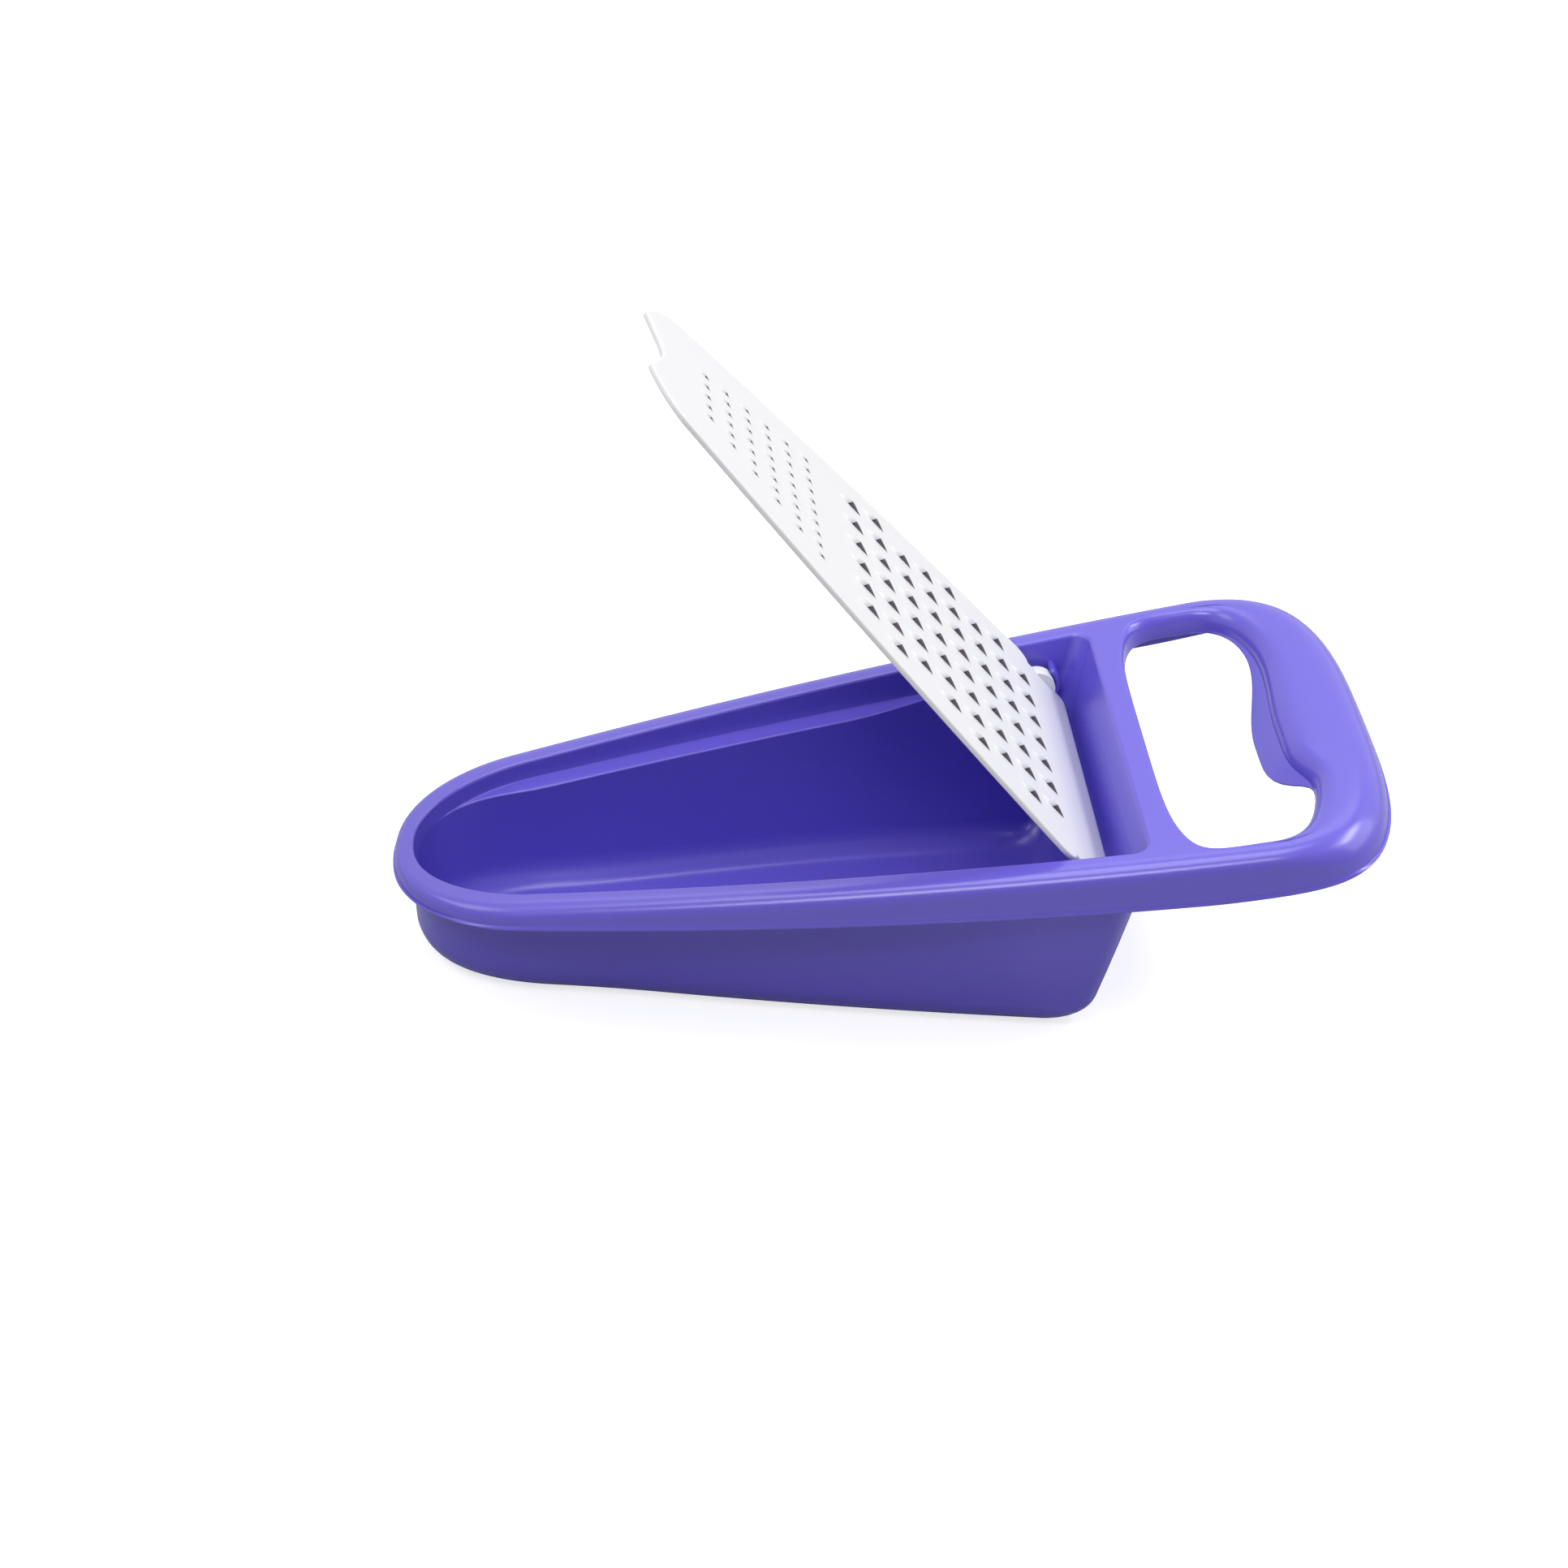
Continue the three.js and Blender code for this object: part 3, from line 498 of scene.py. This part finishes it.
def soft_quarter(steps):
    """A quarter turn that starts and ends gently: along its length its direction turns half evenly and half
    as an S curve. Gives the shares of the way across and of the way down."""
    along = np.linspace(0, 1, steps + 1)
    turn = np.pi / 2 * mix(along, smooth(along, 0, 1), 0.5)
    between = (turn[1:] + turn[:-1]) / 2
    across = np.concatenate([[0], np.cumsum(np.cos(between))])
    drop = np.concatenate([[0], np.cumsum(np.sin(between))])
    return list(zip(across / across[-1], drop / drop[-1]))


roll_curve = soft_quarter(ROLL_STEPS)

# Rim from its top edge over the rolled shoulder, down the skirt, round the lip and up inside
rim_profile = [(SKIRT_DRAFT + roll * (1 - across), -rim_round * drop) for across, drop in roll_curve]
bead_foot = skirt_foot + lip_round
bead_top = bead_foot + np.minimum(BEAD_HEIGHT, (-rim_round - bead_foot) * BEAD_LIMIT)
rim_profile += [(mix(SKIRT_DRAFT, LIP_BEAD, s), mix(-rim_round, bead_top, s)) for s in (0.33, 0.67, 1.0)]
rim_profile += [(LIP_BEAD * BEAD_HOLLOW, mix(bead_top, bead_foot, BEAD_DIP))]
rim_profile += [(WALL / 2 * (1 - np.cos(t)), skirt_foot + lip_round * (1 - np.sin(t))) for t in half_turn]
rim_profile += [(WALL + SKIRT_DRAFT * s, mix(skirt_foot + lip_round, -rim_round, s)) for s in (0.33, 0.67)]
rim_profile += [(SKIRT_DRAFT + WALL + (roll - WALL) * (1 - np.cos(t)),
                 -rim_round + (rim_round - WALL) * np.sin(t)) for t in quarter]
rim_grid = offset_lines(outer, rim_profile)


def hole_skin(spread, power):
    """Half the hand hole's skin: from its top edge over the rolled edge, down its wall, round the lip
    and up inside, as a profile carried along the hole's line."""
    line = hole_line(spread, power)
    x, y = line.T
    rearness = smooth(x, hole_middle, hole_rear - FINGER_SWELL)
    frontness = 1 - smooth(x, hole_front + HOLE_ROUND / 4, hole_front + HOLE_ROUND * 2)
    edge = (HOLE_ROUND + (GRIP_EDGE_ROUND - HOLE_ROUND) * rearness
            - (HOLE_ROUND - CROSS_BAR * CROSS_BAR_ROUND) * frontness)
    fingers = swell_at(y, spread, power) * rearness
    over = edge * mix(mix(HOLE_ROLL, 1.0, frontness), GRIP_ROLL, rearness) + SWELL_ROLL * fingers
    foot = -HOLE_SKIRT - (SWELL_SKIRT - HOLE_SKIRT) * fingers
    lean = FINGER_LEAN * fingers
    inner = np.maximum(edge - WALL, INNER_CREASE)
    inner_over = np.maximum(over - WALL, INNER_CREASE)
    profile = [(over * (across - 1), -edge * drop) for across, drop in roll_curve]
    profile += [(lean * s, mix(-edge, foot + LIP_ROUND, s)) for s in (0.33, 0.67)]
    profile += [(lean - WALL / 2 * (1 - np.cos(t)), foot + LIP_ROUND * (1 - np.sin(t))) for t in half_turn]
    profile += [(lean * (1 - s) - WALL, mix(foot + LIP_ROUND, -WALL - inner, s)) for s in (0.33, 0.67)]
    profile += [(-WALL - inner_over * (1 - np.cos(t)), -WALL - inner * (1 - np.sin(t))) for t in quarter]
    return offset_lines(line, profile)


inside = tub_skin(0)
outside = tub_skin(WALL)


def ribbon(a, b):
    """Straight lines from each point of one edge to its partner on the other, in even steps."""
    share = np.linspace(0, 1, ACROSS_STEPS + 1)[:, None, None]
    return mix(a[None], b[None], share)


def corner_patch(a, b, c):
    """A three-cornered patch: straight lines from the first corner to the side between the others."""
    share = np.linspace(0, 1, ACROSS_STEPS + 1)
    far = mix(b[None], c[None], share[:, None])
    return mix(a[None, None], far[None], share[:, None, None])


def deck(tub_edge, rim_edge, hole_edge):
    """The flat between opening, rim and hand hole: three ribbons and the corner where they meet."""
    meet = NOSE_STEPS + SIDE_STEPS + CORNER_STEPS // 2
    return [
        ribbon(tub_edge[:meet + 1], rim_edge[:meet + 1]),
        ribbon(tub_edge[meet:], hole_edge[:FRONT_STEPS + 1][::-1]),
        ribbon(rim_edge[meet:], hole_edge[FRONT_STEPS:]),
        corner_patch(tub_edge[meet], rim_edge[meet], hole_edge[FRONT_STEPS]),
    ]


def grid_faces(rows, columns, start):
    """Corner numbers of the quads of a grid, row by row."""
    i, j = np.meshgrid(np.arange(rows - 1), np.arange(columns - 1), indexing="ij")
    a = (start + i * columns + j).ravel()
    return np.stack([a, a + 1, a + columns + 1, a + columns], axis=1)


# Points closer than this many metres are one, and edges sharper than this angle stay creases
MERGE = 2e-6
CREASE = np.radians(38)


def mesh_of(name, grids, extra=(), hollows=()):
    """One mesh from grids of points in metres: doubles merged, faces turned outwards, creases kept.
    The faces of the hollows take the second material, the painted shade inside the teeth."""
    points = []
    faces = []
    slots = []
    start = 0
    for slot, grid in [(0, grid) for grid in grids] + [(1, grid) for grid in hollows]:
        rows, columns = grid.shape[:2]
        points.append(grid.reshape(-1, 3))
        faces += grid_faces(rows, columns, start).tolist()
        slots += [slot] * ((rows - 1) * (columns - 1))
        start += rows * columns
    for corners, triangles in extra:
        points.append(corners)
        faces += (triangles + start).tolist()
        slots += [0] * len(triangles)
        start += len(corners)
    mesh = bpy.data.meshes.new(name)
    mesh.from_pydata(np.vstack(points).tolist(), [], faces)
    mesh.polygons.foreach_set("material_index", slots)
    work = bmesh.new()
    work.from_mesh(mesh)
    bmesh.ops.remove_doubles(work, verts=work.verts, dist=MERGE)
    bmesh.ops.dissolve_degenerate(work, edges=work.edges, dist=MERGE)
    bmesh.ops.recalc_face_normals(work, faces=work.faces)
    work.to_mesh(mesh)
    work.free()
    mesh.shade_smooth()
    mesh.set_sharp_from_angle(angle=CREASE)
    return mesh


def from_rim(points):
    """Rim-plane millimetres to the object's metres: the rim tilts so that the bottom lies level."""
    x, y, z = np.moveaxis(points, -1, 0)
    c = np.cos(BOTTOM_TILT)
    s = np.sin(BOTTOM_TILT)
    return np.stack([x * c - z * s + MIDDLE_SHIFT, y, x * s + z * c + REAR_DEPTH * c], axis=-1) * MM


both = []
for side, swell in ((1, SWELL_FAR), (-1, SWELL_NEAR)):
    hole_grid = hole_skin(*swell)
    half = [rim_grid, hole_grid, inside, outside]
    half += deck(inside[0], rim_grid[0], hole_grid[0])
    half += deck(outside[0], rim_grid[-1], hole_grid[-1])
    both += [grid * (1, side, 1) for grid in half]
tray_mesh = mesh_of("tray_moulding", [from_rim(grid) for grid in both])
tray = bpy.data.objects.new("tray_moulding", tray_mesh)
scene.collection.objects.link(tray)
even = tray.modifiers.new("even_normals", "WEIGHTED_NORMAL")
even.keep_sharp = True
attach(tray, "tray")
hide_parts("tray")

# Moulded ABS in violet: a deep, even colour under a clear gloss. The mould's polish leaves a faint
# ripple of about 1.6 mm, drawn a little stronger than real so that it shows in the highlights, and the
# gloss drifts a little over about 40 mm, as handling leaves it.
VIOLET = "#6a5ed3"
RIPPLE_MM = 1.6
DRIFT_MM = 40
violet = bpy.data.materials.new("violet_abs")
violet.use_nodes = True
tree = violet.node_tree
tree.nodes.clear()
place = add_node(tree, "ShaderNodeTexCoord")
ripple = add_node(tree, "ShaderNodeTexNoise", {"Scale": 1 / (RIPPLE_MM * MM), "Detail": 2.0},
                  {"Vector": place.outputs["Object"]})
drift = add_node(tree, "ShaderNodeTexNoise", {"Scale": 1 / (DRIFT_MM * MM), "Detail": 3.0},
                 {"Vector": place.outputs["Object"]})
gloss = add_node(tree, "ShaderNodeMapRange", {"To Min": 0.19, "To Max": 0.265},
                 {"Value": drift.outputs["Fac"]})
bump = add_node(tree, "ShaderNodeBump", {"Strength": 0.03, "Distance": 0.00003},
                {"Height": ripple.outputs["Fac"]})
shader = add_node(tree, "ShaderNodeBsdfPrincipled", {"Base Color": linear(VIOLET), "IOR": 1.54},
                  {"Roughness": gloss.outputs["Result"], "Normal": bump.outputs["Normal"]})
add_node(tree, "ShaderNodeOutputMaterial", links={"Surface": shader.outputs[0]})
tray_mesh.materials.append(violet)


# Snap clips: two springy cradles moulded onto the tub's side walls in the same violet plastic, one for
# each lug of the plate. Each is a C of even thickness, open to the front and top, so that the lug is
# pressed in from above.
CLIP_PRONG = 1.2
CLIP_DEPTH = 2.6
CLIP_START = np.radians(-176)
CLIP_STOP = np.radians(41)
CLIP_EDGE = 0.3
CLIP_TAPER = 0.75
WALL_AT_HINGE = 44.93
WALL_FLARE = 0.2
WALL_LEAN = 0.17
CLIP_ROOT = 3.2
CLIP_STEPS = 36

cradle = LUG_RADIUS + RUNNING_GAP
clip_inner = WALL_AT_HINGE - CLIP_DEPTH


def clip_grid(sign):
    """A rounded rectangular section carried along an arc round the hinge axis, closed at both ends and
    cut off in the middle of the side wall, which flares to the rear and leans in below the hinge."""
    turn = np.linspace(CLIP_START, CLIP_STOP, CLIP_STEPS + 1)
    low = cradle
    high = cradle + CLIP_PRONG
    near = clip_inner
    far = WALL_AT_HINGE + CLIP_ROOT
    e = CLIP_EDGE
    section = np.array([
        (low + e, near), (high - e, near), (high, near + e), (high, far), (low, far), (low, near + e),
        (low + e, near)])
    centre = section[:-1].mean(axis=0)
    ends = np.concatenate([[0.0, CLIP_TAPER], np.ones(CLIP_STEPS - 1), [CLIP_TAPER, 0.0]])
    turns = np.concatenate([turn[:1], turn[:1], turn[1:-1], turn[-1:], turn[-1:]])
    loops = mix(centre, section[None], ends[:, None, None])
    radius, depth = np.moveaxis(loops, -1, 0)
    along = radius * np.cos(turns)[:, None]
    above = radius * np.sin(turns)[:, None]
    wall_line = WALL_AT_HINGE + WALL_FLARE * (along + cradle) + WALL_LEAN * np.minimum(above, 0)
    depth = np.minimum(depth, wall_line + WALL / 2)
    return np.stack([HINGE_X + along, sign * depth, HINGE_Z + above], axis=-1)


for name, sign in (("tray_clip_far", 1), ("tray_clip_near", -1)):
    clip_mesh = mesh_of(name, [from_rim(clip_grid(sign))])
    clip_mesh.materials.append(violet)
    clip = bpy.data.objects.new(name, clip_mesh)
    scene.collection.objects.link(clip)
    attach(clip, "tray")


# Grating plate: one injection moulding in white plastic, 1.4 mm thick, that swings on two lugs.
# Its free end is a fishtail, its rear edge rolls down, and hollow teeth stand in staggered rows.
# Plate sizes are millimetres: u runs from the hinge axis to the tip, y across, h up from the grating face.
PLATE_GAP = 0.7
TIP_OVERHANG = 1.0
TIP_LENGTH = 14.5
PLATE_EDGE = 0.5
SEAT_TILT = np.radians(3.7)
OPEN_ANGLE = np.radians(57.84)
SHOULDER = 6.6
SHOULDER_LENGTH = 4.5
TAIL_GAP = 0.6
TAIL_ROLL = 4.5
TAIL_TURN = np.radians(45)
TAIL_CORNER = 5.5
NOTCH_DEPTH = 7.7
NOTCH_ROUND = 1.2
NOTCH_SLOPE = 0.45
PRONG_ROUND = 0.25
FIRST_ROW = 11.9
LAST_ROW = 22.3
FIELD_GAP = 16.6
COARSE_SHARE = 0.6455
COARSE_PITCH = 9.6
COARSE_ROWS = (7, 8, 7, 8, 7, 6, 7, 6)
FINE_PITCH = 5.0
FINE_ROWS = (10, 9, 8, 7, 6, 5)
FINE_SCALE = 0.45
FACE_WEIGHT = 90

# How finely each stretch of its outline is drawn, in points
TAIL_POINTS = 15
TURN_POINTS = 10
STEP_POINTS = 9
SIDE_POINTS = 46
NOSE_POINTS = 49

tail_half = clip_inner - RUNNING_GAP
wall_distance = (rear_top + REAR_DRAFT * HINGE_Z - HINGE_X) / np.hypot(1, REAR_DRAFT)
tail_sink = TAIL_ROLL * (1 - np.cos(TAIL_TURN))
tail_end = np.sqrt((wall_distance - TAIL_GAP) ** 2 - (PLATE_RISE - tail_sink) ** 2)
tail_flat = tail_end - TAIL_ROLL * np.sin(TAIL_TURN)
tail_start = -tail_flat - TAIL_ROLL * TAIL_TURN
tip_reach = (HINGE_X + PLATE_RISE * np.sin(SEAT_TILT) + OPENING_LENGTH + TIP_OVERHANG) / np.cos(SEAT_TILT)


def plate_half(u):
    """Half width of the plate: the closed plate follows the opening with a gap."""
    return side_half(HINGE_X - u * np.cos(SEAT_TILT) + PLATE_RISE * np.sin(SEAT_TILT)) - PLATE_GAP


def plate_line():
    """Half the plate's outline from the middle of the tail to the middle of the notch: straight tail,
    round corner, step to the shoulder, bowed side, elliptical nose, and the notch. The nose and the notch
    meet in a prong, rounded by a soft minimum of the two."""
    tail_y = np.linspace(0, tail_half - TAIL_CORNER, TAIL_POINTS)
    turn = np.linspace(0, np.pi / 2, TURN_POINTS)[1:]
    corner_u = tail_start + TAIL_CORNER * (1 - np.cos(turn))
    corner_y = tail_half - TAIL_CORNER * (1 - np.sin(turn))
    edge_u = np.linspace(tail_start + TAIL_CORNER, SHOULDER, TURN_POINTS)[1:]
    step = np.linspace(0, np.pi / 2, STEP_POINTS)[1:]
    step_u = SHOULDER + SHOULDER_LENGTH * (1 - np.cos(step))
    step_y = mix(tail_half, plate_half(step_u), np.sin(step))
    nose = tip_reach - TIP_LENGTH
    side_u = np.linspace(step_u[-1], nose, SIDE_POINTS)[1:]
    phi = np.linspace(0, np.pi / 2, NOSE_POINTS)[1:]
    nose_u = nose + TIP_LENGTH * np.sin(phi)
    nose_y = plate_half(nose_u) * np.cos(phi)
    notch_u = tip_reach - NOTCH_DEPTH - NOTCH_ROUND + np.hypot(NOTCH_ROUND, NOTCH_SLOPE * nose_y)
    end_u = -PRONG_ROUND * np.logaddexp(-nose_u / PRONG_ROUND, -notch_u / PRONG_ROUND)
    tail_u = np.full(TAIL_POINTS, tail_start)
    edge_y = np.full(len(edge_u), tail_half)
    u = np.concatenate([tail_u, corner_u, edge_u, step_u, side_u, end_u])
    y = np.concatenate([tail_y, corner_y, edge_y, step_y, plate_half(side_u), nose_y])
    y[-1] = 0
    return np.stack([u, y], axis=1), TAIL_POINTS, TAIL_POINTS + len(corner_u) + len(edge_u)


# One tooth: a long low hood that rises to its middle and is open on the near side of its rear half,
# so that the open edge cuts. The mouth leads down through the plate. Sizes for a coarse tooth.
MOUTH_TIP = 1.3
MOUTH_TAIL = -3.3
MOUTH_LINE = -0.88
HOOD_TIP = 5.6
HOOD_WIDTH = 2.9
HOOD_HEIGHT = 1.25
HOOD_LEAN = 0.9
CREST_LEAN = 0.5
SLOT_WIDTH = 1.3
COARSE_LIP = 0.1
FINE_LIP = 0.4
MOUTH_SKIN = 0.12
HOOD_WAIST = 0.35
HOOD_FULLNESS = 0.8
EDGE_FALL = 1.15
LIP_ALONG = 0.67
LIP_HEIGHT = 0.3
SLOT_FALL = 0.6
SLOT_SHRINK = 0.96
SLOT_KNEE = 0.45
HOLLOW_ROWS = 3

# Steps along the mouth's base, up its tall end, back along the hood, and from the foot to the edge
COARSE_STEPS = (5, 4, 9, 4)
FINE_STEPS = (3, 2, 5, 2)


def tooth_grid(base, end, crown, rises, lip_share):
    """Rings of one tooth from its foot on the plate, over the hood to the mouth's edge, round that edge,
    and down the slot to the underside. Around, a ring runs along the mouth's base, up its tall end,
    and back along the hood's edge; the hood's height follows an S curve from foot to edge."""
    a = np.linspace(0, 1, base + 1)[:-1]
    b = np.linspace(0, 1, end + 1)[:-1]
    c = np.linspace(0, 1, crown + 1)[:-1]
    flat = np.zeros_like
    base_u = mix(MOUTH_TAIL, MOUTH_TIP, a)
    lean = HOOD_LEAN + MOUTH_SKIN
    crest = MOUTH_TIP - CREST_LEAN
    foot_u = np.concatenate([base_u, mix(MOUTH_TIP, HOOD_TIP, b), mix(HOOD_TIP, MOUTH_TAIL, c)])
    end_y = lean * b ** 2 - HOOD_WAIST * np.sin(np.pi * b)
    crown_y = mix(lean, 0, c) + HOOD_WIDTH * np.sin(np.pi * c) ** HOOD_FULLNESS
    foot_y = np.concatenate([flat(a), end_y, crown_y]) - MOUTH_SKIN
    edge_u = np.concatenate([base_u, mix(MOUTH_TIP, crest, b), mix(crest, MOUTH_TAIL, c)])
    edge_h = np.concatenate([flat(a), HOOD_HEIGHT * b, HOOD_HEIGHT * (1 - c ** EDGE_FALL)])
    slot_u = np.concatenate([base_u, np.full_like(b, MOUTH_TIP), mix(MOUTH_TIP, MOUTH_TAIL, c)])
    slot_y = np.concatenate([flat(a), SLOT_WIDTH * b, SLOT_WIDTH * (1 - c) ** SLOT_FALL])
    foot = np.stack([foot_u, foot_y, flat(foot_u)], axis=1)
    edge = np.stack([edge_u, flat(edge_u), edge_h], axis=1)
    middle = np.array([mix(MOUTH_TAIL, MOUTH_TIP, LIP_ALONG), 0.0, HOOD_HEIGHT * LIP_HEIGHT])
    lip = mix(edge, middle, lip_share) + (0, MOUTH_SKIN, 0)
    slot = np.stack([slot_u * SLOT_SHRINK, slot_y, np.full_like(slot_u, -PLATE_THICKNESS)], axis=1)
    rings = []
    for v in np.linspace(0, 1, rises + 1):
        ring = mix(foot, edge, v)
        ring[:, 2] = edge[:, 2] * v * v * (3 - 2 * v)
        rings.append(ring)
    rings += [lip, mix(lip, slot, SLOT_KNEE), slot]
    rings = np.stack(rings) + (0, MOUTH_LINE, 0)
    return np.concatenate([rings, rings[:, :1]], axis=1)


row_run = tip_reach - LAST_ROW - FIRST_ROW - FIELD_GAP
coarse_run = row_run * COARSE_SHARE
fine_start = FIRST_ROW + coarse_run + FIELD_GAP
fields = (
    (COARSE_ROWS, FIRST_ROW, coarse_run, COARSE_PITCH, tooth_grid(*COARSE_STEPS, COARSE_LIP), 1.0),
    (FINE_ROWS, fine_start, row_run - coarse_run, FINE_PITCH, tooth_grid(*FINE_STEPS, FINE_LIP),
     FINE_SCALE),
)
teeth = []
for rows, start, run, pitch, unit, scale in fields:
    row_step = run / (len(rows) - 1)
    shape = unit * scale
    shape[-1, :, 2] = -PLATE_THICKNESS
    for row, count in enumerate(rows):
        for y in (np.arange(count) - (count - 1) / 2) * pitch:
            teeth.append(shape + (start + row * row_step, y, 0))


# The filler keeps what lies inside its rings, and joins points this many millimetres apart
FILL_INSIDE = 1
FILL_MERGE = 1e-6


def flat_face(loops, bands, height):
    """A flat face with holes: triangles between an outer loop and the loops inside it.
    bands are pairs of outer points joined by straight lines, so that the face can bend along them."""
    sizes = [len(loop) for loop in loops]
    starts = np.concatenate([[0], np.cumsum(sizes)[:-1]])
    rings = [list(range(s, s + n)) for s, n in zip(starts.tolist(), sizes)]
    rings[0].reverse()
    flat = [Vector(p) for p in np.vstack(loops).tolist()]
    found, _, faces, _, _, owners = delaunay_2d_cdt(flat, bands, rings, FILL_INSIDE, FILL_MERGE, True)
    kept = [face for face, owner in zip(faces, owners) if set(owner) == {0}]
    flat = np.array([tuple(p) for p in found])
    return np.column_stack([flat, np.full(len(flat), height)]), np.array(kept)


def swing(points):
    """Plate millimetres (u, y, h) to the object's metres: the tail is rolled down round a cylinder,
    the plate turns open about the hinge axis, and the rim plane tilts with the tray."""
    u, y, h = np.moveaxis(points, -1, 0)
    turn = np.maximum(-tail_flat - u, 0) / TAIL_ROLL
    x = np.where(turn > 0, tail_flat + (TAIL_ROLL + h) * np.sin(turn), -u)
    z = PLATE_RISE + np.where(turn > 0, (TAIL_ROLL + h) * np.cos(turn) - TAIL_ROLL, h)
    c = np.cos(OPEN_ANGLE)
    s = np.sin(OPEN_ANGLE)
    return from_rim(np.stack([HINGE_X + x * c + z * s, y, HINGE_Z - x * s + z * c], axis=-1))


half_line, corner_start, band_stop = plate_line()
edge_profile = [(PLATE_EDGE * (1 - np.sin(t)), -PLATE_EDGE * (1 - np.cos(t))) for t in quarter]
edge_profile += [(PLATE_EDGE * (1 - np.cos(t)), PLATE_EDGE * (1 - np.sin(t)) - PLATE_THICKNESS)
                 for t in quarter]
edge_half = offset_lines(half_line, edge_profile)
edge_grid = np.concatenate([edge_half, edge_half[:, -2::-1] * (1, -1, 1)], axis=1)
around = edge_grid.shape[1] - 1
bands = [(i, around - i) for i in range(corner_start - 1, band_stop)]
top_loops = [grid[0, :-1, :2] for grid in [edge_grid] + teeth]
under_loops = [grid[-1, :-1, :2] for grid in [edge_grid] + teeth]
top = flat_face(top_loops, bands, 0.0)
under = flat_face(under_loops, bands, -PLATE_THICKNESS)
hoods = [tooth[:1 - HOLLOW_ROWS] for tooth in teeth]
hollows = [tooth[-HOLLOW_ROWS:] for tooth in teeth]
plate_mesh = mesh_of("plate_moulding", [swing(grid) for grid in [edge_grid] + hoods],
                     [(swing(points), faces) for points, faces in (top, under)],
                     [swing(grid) for grid in hollows])
plate = bpy.data.objects.new("plate_moulding", plate_mesh)
scene.collection.objects.link(plate)
even = plate.modifiers.new("even_normals", "WEIGHTED_NORMAL")
even.keep_sharp = True
even.weight = FACE_WEIGHT
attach(plate, "plate")
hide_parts("grater_plate")

# Moulded polypropylene in white: a soft satin gloss over a milky body, with the mould's fine spark grain
# of about 1.5 mm in its roughness, drawn coarser than the real 0.1 mm so that it shows.
WHITE = "#e6e6e8"
GRAIN_MM = 1.5
milky = bpy.data.materials.new("white_polypropylene")
milky.use_nodes = True
tree = milky.node_tree
tree.nodes.clear()
place = add_node(tree, "ShaderNodeTexCoord")
grain = add_node(tree, "ShaderNodeTexNoise", {"Scale": 1 / (GRAIN_MM * MM), "Detail": 2.0},
                 {"Vector": place.outputs["Object"]})
gloss = add_node(tree, "ShaderNodeMapRange", {"To Min": 0.5, "To Max": 0.62},
                 {"Value": grain.outputs["Fac"]})
bump = add_node(tree, "ShaderNodeBump", {"Strength": 0.05, "Distance": 0.00002},
                {"Height": grain.outputs["Fac"]})
shader = add_node(tree, "ShaderNodeBsdfPrincipled", {"Base Color": linear(WHITE), "IOR": 1.49},
                  {"Roughness": gloss.outputs["Result"], "Normal": bump.outputs["Normal"]})
add_node(tree, "ShaderNodeOutputMaterial", links={"Surface": shader.outputs[0]})
plate_mesh.materials.append(milky)

# Inside the teeth: the same polypropylene, left rough by the mould's loose pins, with the shade deep in the
# mouths painted into its colour as a dark grey, so that the mouths read dark against the white face. The
# roughness varies with the same grain.
MOUTH_SHADE = "#6f676f"
mouth_shade = bpy.data.materials.new("white_polypropylene_painted_shade")
mouth_shade.use_nodes = True
tree = mouth_shade.node_tree
tree.nodes.clear()
place = add_node(tree, "ShaderNodeTexCoord")
grain = add_node(tree, "ShaderNodeTexNoise", {"Scale": 1 / (GRAIN_MM * MM), "Detail": 2.0},
                 {"Vector": place.outputs["Object"]})
gloss = add_node(tree, "ShaderNodeMapRange", {"To Min": 0.5, "To Max": 0.7},
                 {"Value": grain.outputs["Fac"]})
shader = add_node(tree, "ShaderNodeBsdfPrincipled", {"Base Color": linear(MOUTH_SHADE), "IOR": 1.49},
                  {"Roughness": gloss.outputs["Result"]})
add_node(tree, "ShaderNodeOutputMaterial", links={"Surface": shader.outputs[0]})
# Second slot: the painted shade on the faces of the teeth's hollows.
plate_mesh.materials.append(mouth_shade)


# Lugs: two round studs moulded onto the plate's sides in its white plastic, which turn in the tray's
# clips. Each is a short cylinder with a rounded rim, rooted in the plate's edge.
LUG_ROOT = 1.5
LUG_EDGE = 0.7
LUG_STEPS = 48


def lug_grid(sign):
    """A profile turned round the hinge axis: flat end, rounded rim, and the cylinder back to the root."""
    end = WALL_AT_HINGE - RUNNING_GAP
    radius = np.concatenate([[0.0], LUG_RADIUS - LUG_EDGE * (1 - np.sin(quarter)), [LUG_RADIUS, 0.0]])
    depth = np.concatenate([[end], end - LUG_EDGE * (1 - np.cos(quarter)), [tail_half - LUG_ROOT] * 2])
    turn = np.linspace(0, 2 * np.pi, LUG_STEPS + 1)
    across = np.repeat(sign * depth[:, None], len(turn), axis=1)
    return np.stack([HINGE_X + radius[:, None] * np.cos(turn), across,
                     HINGE_Z + radius[:, None] * np.sin(turn)], axis=-1)


for name, sign in (("plate_lug_far", 1), ("plate_lug_near", -1)):
    lug_mesh = mesh_of(name, [from_rim(lug_grid(sign))])
    lug_mesh.materials.append(milky)
    lug = bpy.data.objects.new(name, lug_mesh)
    scene.collection.objects.link(lug)
    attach(lug, "plate")
